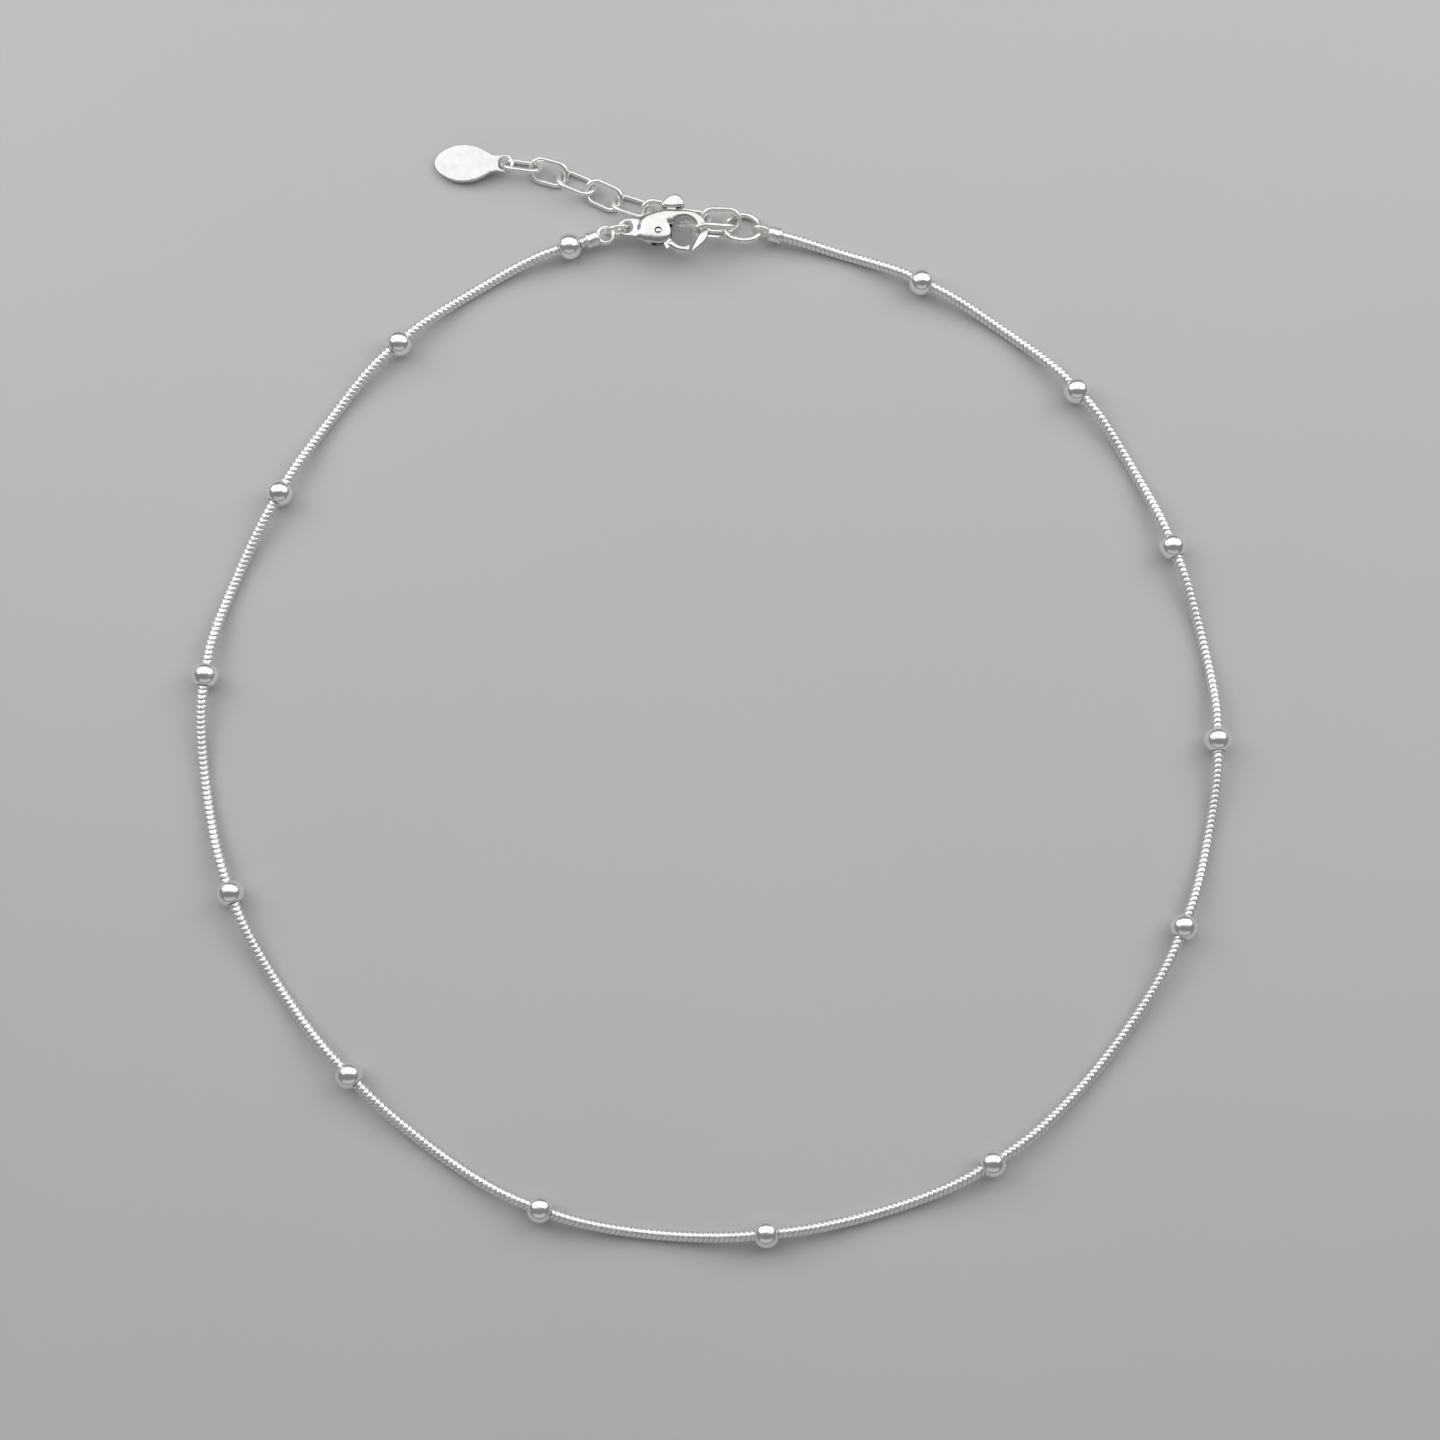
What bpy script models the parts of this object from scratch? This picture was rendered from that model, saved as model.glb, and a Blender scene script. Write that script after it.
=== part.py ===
"""Ball chain choker: a round snake chain with fourteen drilled beads, closed by a lobster
clasp, with an extender chain that ends in a plain oval tag. The choker lies closed on
a flat surface. Lengths below are in millimetres, the model is in metres, +Z up, and the
origin is the centre of the footprint on the surface."""

from math import acos, atan2, cos, degrees, hypot, pi, radians, sin

import bmesh
import bpy
from mathutils import Matrix, Vector

MM = 0.001
WELD_DISTANCE = 2e-6

# Chain and beads
CHAIN_RADIUS = 0.6
CHAIN_FLOOR_GAP = 0.03
CHAIN_BULGE = 0.82
BEAD_RADIUS = 1.5
BEAD_BORE_RADIUS = 0.78
BEAD_STRAIGHT = 1.7
CHAIN_POINT_STEP = 4.4
SAG_SPAN = 8.0

# Bead centres seen from above, in order round the choker from the clasp's tail: x, y
BEADS = (
    (-16.2, 49.4),
    (-35.2, 38.0),
    (-48.1, 20.7),
    (-55.7, 0.1),
    (-52.2, -23.9),
    (-38.9, -43.5),
    (-18.3, -57.6),
    (5.7, -60.2),
    (29.8, -52.8),
    (50.9, -27.6),
    (55.2, -7.1),
    (50.9, 14.6),
    (40.7, 32.5),
    (23.5, 45.2),
)

# End caps: a cup on the chain's end with a soldered loop
CAP_RADIUS = 0.95
CAP_BORE_RADIUS = 0.75
CAP_LENGTH = 1.5
CAP_DEPTH = 1.1
CAP_BEVEL = 0.2
LOOP_RADIUS = 0.9
LOOP_WIRE = 0.25
LOOP_SEAT = 0.8
LEFT_CAP_HEIGHT = BEAD_RADIUS
RIGHT_CAP_HEIGHT = 1.4
CHAIN_IN_CAP = 0.9
LEFT_CAP_HEADING = 18.0
LEFT_CAP_DISTANCE = 2.0
RIGHT_CAP_HEADING = -14.0
RIGHT_LOOP_CENTRE = (5.5, 51.2)
RIGHT_LOOP_TURN = 80.0

# Lobster clasp, drawn in its own plane round the centre of its hole: the tail points to -x
# and the thumb tab to +y
CLASP_CENTRE = (-3.05, 50.5, 2.98)
CLASP_HEADING = -5.0
CLASP_TAIL_DROP = 6.0
HOLE_RADIUS = 1.6
CLAW_RADIUS = 2.5
BODY_THICKNESS = 2.0
BODY_BEVEL = 0.45
BODY_BEVEL_SEGMENTS = 3
BELLY_POINTS = ((-5.2, -1.1), (-4.2, -1.5))
BACK_POINTS = ((-1.6, 2.5), (-2.6, 2.48), (-3.6, 2.18), (-4.7, 1.72), (-5.7, 1.38))
EYE_CENTRE = (-6.6, 0.2)
EYE_OUTER_RADIUS = 1.1
EYE_HOLE_RADIUS = 0.62
PIVOT = (-3.0, -0.2)
CHEEK_RADIUS = 1.4
PIN_RADIUS = 0.3
PIN_HOLE_RADIUS = 0.4
PIN_LENGTH = 1.9
TIP_CUT_RADIUS = 4.4

# Where the body thins: the place where it starts, the place where it ends, the share left
CLAW_TAPER = (-0.8, 1.2, 0.58)
TAIL_TAPER = (-4.4, -6.0, 0.45)

# The slot for the lever, as sectors round the pivot: start angle, end angle, radius
SLOT_HEIGHT = 1.0
SLOT_SECTORS = (
    (-120.0, 45.0, 1.7),
    (47.0, 108.0, 3.9),
    (110.0, 238.0, 1.3),
)

# Lever: a hub on the pin with two arms, a gate that closes the hole and a thumb tab. The
# hub's sectors round the pivot: start angle, end angle, radius
LEVER_THICKNESS = 0.8
HUB_SECTORS = (
    (-62.0, -31.0, 2.2),
    (-28.0, 57.0, 1.1),
    (60.0, 76.0, 3.7),
    (79.0, 297.0, 1.1),
)
GATE_THICKNESS = 1.3
LEVER_BEVEL = 0.2
GATE_INSET = 0.05
GATE_REACH = 4.25
GATE_ANGLES = (-143.0, -66.0)

# The thumb tab's corners round the pivot: angle, radius
TAB_CORNERS = (
    (50.0, 4.05),
    (62.0, 3.25),
    (74.0, 2.98),
    (92.0, 2.92),
    (90.0, 3.5),
    (82.0, 4.3),
    (74.0, 4.8),
    (65.0, 4.9),
    (57.0, 4.6),
)

# Rings: name, x, y, z, heading, turn, radius, wire
RINGS = (
    ("clasp_ring", -10.82, 51.05, 2.0, 12.5, 90.0, 1.3, 0.25),
    ("jump_ring", 3.4, 51.66, 1.29, -4.9, -26.7, 2.05, 0.35),
)

# Oval links of the extender, laid along a route of x, y corners
LINK_WIRE = 0.275
LINK_WIDTH = 3.1
LINK_LENGTH = 4.8
LINK_PITCH = 3.43
LINK_TURN = 29.0
LINK_FLOOR_GAP = 0.02
ROUTE_STEP = 0.2
EXTENDER_LINKS = 8
LAST_LINK_PITCH = 3.11
LAST_LINK_TURN = 49.0
EXTENDER_ROUTE = (
    (3.0, 52.6),
    (-2.8, 52.95),
    (-9.4, 54.4),
    (-15.7, 57.2),
    (-19.4, 58.6),
    (-26.0, 59.6),
)

# The oval link that the clasp holds, by its two ends: x, y, z
HOOK_LINK_ENDS = ((-2.136, 50.58, 3.63), (2.45, 50.99, 1.585))
HOOK_LINK_TURN = 80.2

# Tag, hung from the last link
TAG_THICKNESS = 0.5
TAG_HOLE_RADIUS = 0.72
TAG_HOLE_OFFSET = 1.97
TAG_HOLE_HEIGHT = 1.264
TAG_BEVEL = 0.1
TAG_HEADING = 177.2
TAG_TURN = -2.5
TAG_FLOOR_GAP = 0.15
TAG_OUTLINE_STEP = 0.5

# One side of the tag, from the neck's end round the hole to the tip: place along it, half width
TAG_SIDE = (
    (-1.12, 0.0),
    (-0.95, 0.6),
    (-0.4, 1.04),
    (0.5, 1.0),
    (1.4, 1.05),
    (2.2, 1.5),
    (3.2, 1.97),
    (4.5, 2.2),
    (5.8, 2.08),
    (6.9, 1.6),
    (7.7, 0.9),
    (8.1, 0.0),
)

# Facets
BEAD_STEPS = 14
BEAD_ARC_POINTS = 9
RING_SEGMENTS = 22
WIRE_SIDES = 6
LINK_END_SEGMENTS = 8
CLAW_STEPS = 16
CLASP_STEPS = 10
SECTOR_STEPS = 6
HOLE_STEPS = 14
PIN_STEPS = 12

FINISHES = {
    "chain": ("silver_chain", (0.78, 0.78, 0.77), 0.28),
    "bead": ("silver_bead", (0.90, 0.90, 0.89), 0.12),
    "link": ("silver_link", (0.84, 0.84, 0.82), 0.20),
    "clasp": ("silver_clasp", (0.88, 0.88, 0.86), 0.16),
    "tag": ("silver_tag", (0.92, 0.92, 0.91), 0.14),
}


def clear_scene():
    for obj in list(bpy.data.objects):
        bpy.data.objects.remove(obj, do_unlink=True)


def make_collection(name):
    collection = bpy.data.collections.new(name)
    bpy.context.scene.collection.children.link(collection)
    return collection


def make_finish(kind):
    name, colour, roughness = FINISHES[kind]
    material = bpy.data.materials.get(name)
    if material is None:
        material = bpy.data.materials.new(name)
        material.use_nodes = True
        shader = material.node_tree.nodes["Principled BSDF"]
        shader.inputs["Base Color"].default_value = (*colour, 1.0)
        shader.inputs["Roughness"].default_value = roughness
        shader.inputs["Metallic"].default_value = 1.0
    return material


def move_to(obj, collection):
    for holder in list(obj.users_collection):
        holder.objects.unlink(obj)
    collection.objects.link(obj)


def new_mesh_object(name, mesh, collection):
    obj = bpy.data.objects.new(name, mesh)
    collection.objects.link(obj)
    return obj


def shade_round(obj, sharp_angle=35.0):
    obj.data.shade_smooth()
    obj.data.set_sharp_from_angle(angle=radians(sharp_angle))


def finish_part(obj, kind, matrix=None):
    obj.data.materials.clear()
    obj.data.materials.append(make_finish(kind))
    if matrix is not None:
        obj.matrix_world = matrix
    shade_round(obj)
    return obj


def point(x, y, z=0.0):
    return Vector((x, y, z)) * MM


def turned_frame(centre, heading, turn, drop=0.0):
    """A frame at a centre given in millimetres: its x axis points along the heading and drops
    by the drop angle towards -x, and its y axis is turned about x, up for a positive turn."""
    return (
        Matrix.Translation(point(*centre))
        @ Matrix.Rotation(radians(heading), 4, "Z")
        @ Matrix.Rotation(radians(-drop), 4, "Y")
        @ Matrix.Rotation(radians(turn), 4, "X")
    )


def frame_between(start, end, turn):
    """A frame half-way between two points, with its x axis along them."""
    run = Vector(end) - Vector(start)
    heading = degrees(atan2(run.y, run.x))
    rise = degrees(atan2(run.z, hypot(run.x, run.y)))
    centre = (Vector(start) + Vector(end)) / 2.0
    return turned_frame(centre, heading, turn, drop=rise)


def arc(centre, radius, start, end, steps):
    """Points on an arc in millimetres, from one angle to another in degrees."""
    points = []
    for step in range(steps + 1):
        angle = radians(start + (end - start) * step / steps)
        points.append((centre[0] + radius * cos(angle), centre[1] + radius * sin(angle)))
    return points


def curve_to_mesh(curve_obj, collection):
    """Replace a curve object by a welded mesh object of the same name."""
    name = curve_obj.name
    matrix = curve_obj.matrix_world.copy()
    depsgraph = bpy.context.evaluated_depsgraph_get()
    mesh = bpy.data.meshes.new_from_object(curve_obj.evaluated_get(depsgraph))
    bpy.data.objects.remove(curve_obj, do_unlink=True)
    bm = bmesh.new()
    bm.from_mesh(mesh)
    bmesh.ops.remove_doubles(bm, verts=bm.verts, dist=1e-7)
    bm.to_mesh(mesh)
    bm.free()
    obj = new_mesh_object(name, mesh, collection)
    obj.matrix_world = matrix
    return obj


def extruded_outline(name, outlines, thickness, collection):
    """A flat plate from closed outlines in millimetres, centred on its own plane."""
    curve = bpy.data.curves.new(name, "CURVE")
    curve.dimensions = "2D"
    curve.fill_mode = "BOTH"
    curve.extrude = thickness * MM / 2.0
    for outline in outlines:
        spline = curve.splines.new("POLY")
        spline.points.add(len(outline) - 1)
        spline.use_cyclic_u = True
        for target, (x, y) in zip(spline.points, outline):
            target.co = (x * MM, y * MM, 0.0, 1.0)
    obj = bpy.data.objects.new(name, curve)
    collection.objects.link(obj)
    bpy.context.view_layer.update()
    return curve_to_mesh(obj, collection)


def wire_curve(name, points, wire_radius, cyclic, bevel_resolution, collection):
    """A round wire along points given in metres, as a poly curve with a bevel."""
    curve = bpy.data.curves.new(name, "CURVE")
    curve.dimensions = "3D"
    curve.bevel_depth = wire_radius * MM
    curve.bevel_resolution = bevel_resolution
    curve.use_fill_caps = not cyclic
    spline = curve.splines.new("POLY")
    spline.points.add(len(points) - 1)
    spline.use_cyclic_u = cyclic
    for target, place in zip(spline.points, points):
        target.co = (*place, 1.0)
    obj = bpy.data.objects.new(name, curve)
    collection.objects.link(obj)
    return obj


def cylinder(name, radius, depth, segments, collection, centre=(0.0, 0.0, 0.0)):
    bm = bmesh.new()
    bmesh.ops.create_cone(
        bm, cap_ends=True, segments=segments, radius1=radius * MM, radius2=radius * MM,
        depth=depth * MM, matrix=Matrix.Translation(point(*centre)),
    )
    mesh = bpy.data.meshes.new(name)
    bm.to_mesh(mesh)
    bm.free()
    return new_mesh_object(name, mesh, collection)


def torus(name, radius, wire, segments, collection):
    bpy.ops.mesh.primitive_torus_add(
        major_segments=segments, minor_segments=WIRE_SIDES,
        major_radius=radius * MM, minor_radius=wire * MM,
    )
    obj = bpy.context.object
    obj.name = name
    move_to(obj, collection)
    return obj


def add_bevel(obj, width, segments=2, angle=40.0):
    modifier = obj.modifiers.new("rounded_edges", "BEVEL")
    modifier.width = width * MM
    modifier.segments = segments
    modifier.limit_method = "ANGLE"
    modifier.angle_limit = radians(angle)


def add_boolean(obj, tool, operation):
    tool.hide_render = True
    tool.display_type = "WIRE"
    modifier = obj.modifiers.new(operation.lower(), "BOOLEAN")
    modifier.operation = operation
    modifier.solver = "EXACT"
    modifier.object = tool


def apply_modifiers(obj):
    """Bake the modifiers so far into the object's own mesh and weld it."""
    bpy.context.view_layer.update()
    depsgraph = bpy.context.evaluated_depsgraph_get()
    mesh = bpy.data.meshes.new_from_object(obj.evaluated_get(depsgraph))
    obj.modifiers.clear()
    obj.data = mesh
    bm = bmesh.new()
    bm.from_mesh(mesh)
    bmesh.ops.remove_doubles(bm, verts=bm.verts, dist=WELD_DISTANCE)
    bmesh.ops.dissolve_degenerate(bm, edges=bm.edges, dist=WELD_DISTANCE)
    bm.to_mesh(mesh)
    bm.free()


# The chain's route


def unit(vector):
    length = hypot(vector[0], vector[1])
    return (vector[0] / length, vector[1] / length)


def cap_mouths():
    """The middle of each cap's open face, seen from above."""
    left = radians(LEFT_CAP_HEADING)
    right = radians(RIGHT_CAP_HEADING)
    reach = LOOP_SEAT + CAP_LENGTH
    first = BEADS[0]
    left_mouth = (first[0] + LEFT_CAP_DISTANCE * cos(left), first[1] + LEFT_CAP_DISTANCE * sin(left))
    right_mouth = (
        RIGHT_LOOP_CENTRE[0] + reach * cos(right), RIGHT_LOOP_CENTRE[1] + reach * sin(right),
    )
    return left_mouth, right_mouth


def bead_directions():
    """The chain's direction at each bead, as on a circle through it and its neighbours."""
    stops = [cap_mouths()[0], *BEADS, cap_mouths()[1]]
    directions = []
    for before, here, after in zip(stops, stops[1:], stops[2:]):
        back = (here[0] - before[0], here[1] - before[1])
        ahead = (after[0] - here[0], after[1] - here[1])
        back_length = hypot(*back)
        ahead_length = hypot(*ahead)
        weighted = (
            unit(back)[0] * ahead_length + unit(ahead)[0] * back_length,
            unit(back)[1] * ahead_length + unit(ahead)[1] * back_length,
        )
        directions.append(unit(weighted))
    heading = radians(LEFT_CAP_HEADING)
    directions[0] = (-cos(heading), -sin(heading))
    return directions


def hermite(start, start_pull, end, end_pull, t):
    """A cubic between two points with a pull at each, as one coordinate."""
    return (
        (2 * t ** 3 - 3 * t ** 2 + 1) * start + (t ** 3 - 2 * t ** 2 + t) * start_pull
        + (-2 * t ** 3 + 3 * t ** 2) * end + (t ** 3 - t ** 2) * end_pull
    )


def chain_height(t, start, end, span):
    """The height of the chain's middle between two stops: it sags to the surface where the
    span is long enough and slopes evenly where it isn't."""
    if span < SAG_SPAN:
        return start + (end - start) * t
    low = CHAIN_RADIUS + CHAIN_FLOOR_GAP
    side = start if t < 0.5 else end
    return low + (side - low) * (0.5 + 0.5 * cos(2 * pi * t))


def chain_route():
    """Points along the chain's middle in millimetres, from the left cap to the right one."""
    left_mouth, right_mouth = cap_mouths()
    directions = bead_directions()
    right = radians(RIGHT_CAP_HEADING)
    left = radians(LEFT_CAP_HEADING)
    stops = [(*left_mouth, LEFT_CAP_HEIGHT, -cos(left), -sin(left), 0.0)]
    for bead, direction in zip(BEADS, directions):
        stops.append((*bead, BEAD_RADIUS, *direction, BEAD_STRAIGHT))
    stops.append((*right_mouth, RIGHT_CAP_HEIGHT, -cos(right), -sin(right), 0.0))

    route = [(
        left_mouth[0] + CHAIN_IN_CAP * cos(left), left_mouth[1] + CHAIN_IN_CAP * sin(left), LEFT_CAP_HEIGHT,
    )]
    route.append((*left_mouth, LEFT_CAP_HEIGHT))
    for here, after in zip(stops, stops[1:]):
        start = (here[0] + here[3] * here[5], here[1] + here[4] * here[5])
        end = (after[0] - after[3] * after[5], after[1] - after[4] * after[5])
        span = hypot(end[0] - start[0], end[1] - start[1])
        pull = CHAIN_BULGE * span
        pieces = max(1, round(span / CHAIN_POINT_STEP))
        if here[5] > 0.0:
            route.append((*start, here[2]))
        for step in range(1, pieces):
            t = step / pieces
            x = hermite(start[0], here[3] * pull, end[0], after[3] * pull, t)
            y = hermite(start[1], here[4] * pull, end[1], after[4] * pull, t)
            route.append((x, y, chain_height(t, here[2], after[2], span)))
        route.append((*end, after[2]))
    route.append((
        right_mouth[0] - CHAIN_IN_CAP * cos(right), right_mouth[1] - CHAIN_IN_CAP * sin(right),
        RIGHT_CAP_HEIGHT,
    ))
    return route


# Sub-parts


def make_chain(collection):
    points = [point(*place) for place in chain_route()]
    chain = wire_curve("snake_chain", points, CHAIN_RADIUS, False, 2, collection)
    chain.data.materials.append(make_finish("chain"))


def bead_mesh():
    """A drilled ball turned round its bore."""
    rim = degrees(acos(BEAD_BORE_RADIUS / BEAD_RADIUS))
    outer = arc((0.0, 0.0), BEAD_RADIUS, rim, -rim, BEAD_ARC_POINTS)
    bm = bmesh.new()
    ring = [bm.verts.new(point(x, 0.0, z)) for x, z in outer]
    for first, second in zip(ring, ring[1:] + ring[:1]):
        bm.edges.new((first, second))
    mesh = bpy.data.meshes.new("bead_profile")
    bm.to_mesh(mesh)
    bm.free()
    return mesh


def make_beads(collection):
    profile = bead_mesh()
    for number, (place, direction) in enumerate(zip(BEADS, bead_directions()), start=1):
        bead = new_mesh_object(f"bead_{number:02d}", profile.copy(), collection)
        screw = bead.modifiers.new("turned", "SCREW")
        screw.axis = "Z"
        screw.steps = BEAD_STEPS
        screw.render_steps = BEAD_STEPS
        screw.use_merge_vertices = True
        screw.merge_threshold = 1e-6
        apply_modifiers(bead)
        heading = atan2(direction[1], direction[0])
        along_chain = Matrix.Rotation(heading, 4, "Z") @ Matrix.Rotation(pi / 2, 4, "Y")
        matrix = Matrix.Translation(point(*place, BEAD_RADIUS)) @ along_chain
        finish_part(bead, "bead", matrix)


def make_cap(name, mouth, height, heading, loop_turn, collection, cutters):
    """A cup with a loop; its x axis points from the open face to the loop."""
    cap = cylinder(name, CAP_RADIUS, CAP_LENGTH, BEAD_STEPS, collection, (0.0, 0.0, CAP_LENGTH / 2))
    add_bevel(cap, CAP_BEVEL)
    apply_modifiers(cap)
    bore = cylinder(f"{name}_bore", CAP_BORE_RADIUS, 2 * CAP_DEPTH, BEAD_STEPS, cutters)
    loop = torus(f"{name}_loop", LOOP_RADIUS, LOOP_WIRE, RING_SEGMENTS, cutters)
    loop.matrix_world = (
        Matrix.Translation(point(0.0, 0.0, CAP_LENGTH + LOOP_SEAT))
        @ Matrix.Rotation(radians(loop_turn), 4, "Z")
        @ Matrix.Rotation(pi / 2, 4, "X")
    )
    join_with(cap, bore, "DIFFERENCE")
    join_with(cap, loop, "UNION")
    matrix = (
        Matrix.Translation(point(*mouth, height))
        @ Matrix.Rotation(radians(heading), 4, "Z")
        @ Matrix.Rotation(pi / 2, 4, "Y")
    )
    finish_part(cap, "link", matrix)


def make_caps(collection, cutters):
    left_mouth, right_mouth = cap_mouths()
    make_cap("chain_end_left", left_mouth, LEFT_CAP_HEIGHT, LEFT_CAP_HEADING, 90.0, collection, cutters)
    make_cap("chain_end_right", right_mouth, RIGHT_CAP_HEIGHT, RIGHT_CAP_HEADING + 180.0,
             90.0 - RIGHT_LOOP_TURN, collection, cutters)


def make_rings(collection):
    for name, x, y, z, heading, turn, radius, wire in RINGS:
        ring = torus(name, radius, wire, RING_SEGMENTS, collection)
        finish_part(ring, "link", turned_frame((x, y, z), heading, turn))


def oval_points(length, width, wire):
    """The middle line of an oval link with round ends, in its own plane."""
    radius = width / 2 - wire
    straight = length / 2 - wire - radius
    points = arc((straight, 0.0), radius, -90.0, 90.0, LINK_END_SEGMENTS)
    points += arc((-straight, 0.0), radius, 90.0, 270.0, LINK_END_SEGMENTS)
    return points


def make_link(name, length, matrix, collection):
    points = [point(x, y) for x, y in oval_points(length, LINK_WIDTH, LINK_WIRE)]
    link = wire_curve(name, points, LINK_WIRE, True, 1, collection)
    link.matrix_world = matrix
    link.data.materials.append(make_finish("link"))


def smooth_route(corners, step):
    """A smooth curve through corners, as closely spaced points with their directions."""
    ends = [
        tuple(2 * a - b for a, b in zip(corners[0], corners[1])),
        *corners,
        tuple(2 * a - b for a, b in zip(corners[-1], corners[-2])),
    ]
    points = []
    for before, start, end, after in zip(ends, ends[1:], ends[2:], ends[3:]):
        pieces = max(1, round(hypot(end[0] - start[0], end[1] - start[1]) / step))
        for number in range(pieces):
            t = number / pieces
            x = hermite(start[0], (end[0] - before[0]) / 2, end[0], (after[0] - start[0]) / 2, t)
            y = hermite(start[1], (end[1] - before[1]) / 2, end[1], (after[1] - start[1]) / 2, t)
            points.append((x, y))
    points.append(tuple(corners[-1]))
    return points


def place_on_route(points, distance):
    """The point at a distance along a route, and the route's heading there in degrees."""
    travelled = 0.0
    for start, end in zip(points, points[1:]):
        piece = hypot(end[0] - start[0], end[1] - start[1])
        if travelled + piece >= distance:
            t = (distance - travelled) / piece
            x = start[0] + (end[0] - start[0]) * t
            y = start[1] + (end[1] - start[1]) * t
            return (x, y), degrees(atan2(end[1] - start[1], end[0] - start[0]))
        travelled += piece
    raise ValueError("the route is too short")


def resting_height(turn):
    """How high the middle of an oval link lies when it is turned and touches the surface."""
    return (LINK_WIDTH / 2 - LINK_WIRE) * sin(radians(abs(turn))) + LINK_WIRE + LINK_FLOOR_GAP


def extender_places():
    """A row for each link of the extender: its distance along the route and its turn."""
    first = LINK_LENGTH / 2 - LINK_WIRE
    places = []
    for number in range(EXTENDER_LINKS - 1):
        turn = -LINK_TURN if number % 2 == 0 else LINK_TURN
        places.append((first + LINK_PITCH * number, turn))
    places.append((places[-1][0] + LAST_LINK_PITCH, LAST_LINK_TURN))
    return places


def make_extender(collection):
    route = smooth_route(EXTENDER_ROUTE, ROUTE_STEP)
    places = extender_places()
    for number, (distance, turn) in enumerate(places, start=1):
        (x, y), heading = place_on_route(route, distance)
        matrix = turned_frame((x, y, resting_height(turn)), heading, turn)
        make_link(f"extender_link_{number:02d}", LINK_LENGTH, matrix, collection)
    return place_on_route(route, places[-1][0] + TAG_HOLE_OFFSET)[0]


def make_hook_link(collection):
    start, end = (Vector(place) for place in HOOK_LINK_ENDS)
    length = (end - start).length + 2 * LINK_WIRE
    make_link("hook_link", length, frame_between(start, end, HOOK_LINK_TURN), collection)


def tag_outlines():
    """An oval plate with a neck round its hole. The hole is at the origin and the plate lies
    along +x."""
    side = smooth_route(TAG_SIDE, TAG_OUTLINE_STEP)
    outline = [(x, -y) for x, y in side] + side[-2:0:-1]
    hole = arc((0.0, 0.0), TAG_HOLE_RADIUS, 0.0, 360.0, HOLE_STEPS)[:-1]
    return outline, hole


def make_tag(hole_place, collection):
    tag = extruded_outline("extender_tag", tag_outlines(), TAG_THICKNESS, collection)
    add_bevel(tag, TAG_BEVEL, 1)
    apply_modifiers(tag)
    reach = TAG_SIDE[-1][0]
    fall = degrees(atan2(TAG_HOLE_HEIGHT - TAG_THICKNESS / 2 - TAG_FLOOR_GAP, reach))
    matrix = turned_frame((*hole_place, TAG_HOLE_HEIGHT), TAG_HEADING, TAG_TURN, drop=-fall)
    finish_part(tag, "tag", matrix)


def tip_angle(ring_radius, reach):
    """The angle on a ring round the clasp's hole at a distance from the pivot, below it."""
    low, high = -170.0, 0.0
    for _ in range(40):
        middle = (low + high) / 2
        x = ring_radius * cos(radians(middle)) - PIVOT[0]
        y = ring_radius * sin(radians(middle)) - PIVOT[1]
        if hypot(x, y) < reach:
            low = middle
        else:
            high = middle
    return (low + high) / 2


def clasp_outline():
    """The fixed claw: eye, belly, the cheeks' round edge, the claw's inside, its tip, its
    outside and the back."""
    inner_tip = tip_angle(HOLE_RADIUS, TIP_CUT_RADIUS)
    outer_tip = tip_angle(CLAW_RADIUS, TIP_CUT_RADIUS)
    outline = arc(EYE_CENTRE, EYE_OUTER_RADIUS, 110.0, 285.0, CLASP_STEPS)
    outline += BELLY_POINTS
    outline += arc(PIVOT, CHEEK_RADIUS, -105.0, 40.0, CLASP_STEPS)
    outline += arc((0.0, 0.0), HOLE_RADIUS, 150.0, inner_tip, CLAW_STEPS)
    outline += arc((0.0, 0.0), CLAW_RADIUS, outer_tip, 100.0, CLAW_STEPS)
    outline += BACK_POINTS
    return outline


def thickness_factor(x):
    """How thick the clasp is at a place along it: full round the pivot, thin at both ends."""
    factor = 1.0
    for start, end, share in (CLAW_TAPER, TAIL_TAPER):
        t = min(1.0, max(0.0, (x - start) / (end - start)))
        factor += (share - 1.0) * t * t * (3 - 2 * t)
    return factor


def sector_outline(sectors):
    """A closed outline round the pivot from rows of start angle, end angle and radius."""
    outline = []
    for start, end, radius in sectors:
        outline += arc(PIVOT, radius, start, end, SECTOR_STEPS)
    return outline


def join_with(obj, tool, operation):
    add_boolean(obj, tool, operation)
    apply_modifiers(obj)
    bpy.data.objects.remove(tool, do_unlink=True)


def cut_hole(obj, centre, radius, cutters):
    tool = cylinder(f"{obj.name}_hole", radius, 3 * BODY_THICKNESS, HOLE_STEPS, cutters, (*centre, 0.0))
    join_with(obj, tool, "DIFFERENCE")


def clasp_frame():
    return turned_frame(CLASP_CENTRE, CLASP_HEADING, 0.0, drop=CLASP_TAIL_DROP)


def make_clasp_body(collection, cutters):
    body = extruded_outline("clasp_body", [clasp_outline()], BODY_THICKNESS, collection)
    add_bevel(body, BODY_BEVEL, BODY_BEVEL_SEGMENTS)
    apply_modifiers(body)
    for vertex in body.data.vertices:
        vertex.co.z *= thickness_factor(vertex.co.x / MM)
    slot = extruded_outline("clasp_slot", [sector_outline(SLOT_SECTORS)], SLOT_HEIGHT, cutters)
    join_with(body, slot, "DIFFERENCE")
    cut_hole(body, EYE_CENTRE, EYE_HOLE_RADIUS, cutters)
    cut_hole(body, PIVOT, PIN_HOLE_RADIUS, cutters)
    finish_part(body, "clasp", clasp_frame())


def gate_outline():
    start, end = GATE_ANGLES
    inner = HOLE_RADIUS + GATE_INSET
    inner_tip = min(end, tip_angle(inner, GATE_REACH))
    outline = arc((0.0, 0.0), inner, inner_tip, start, CLASP_STEPS)
    outline += arc((0.0, 0.0), CLAW_RADIUS, start, tip_angle(CLAW_RADIUS, GATE_REACH), CLASP_STEPS)
    return outline


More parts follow.
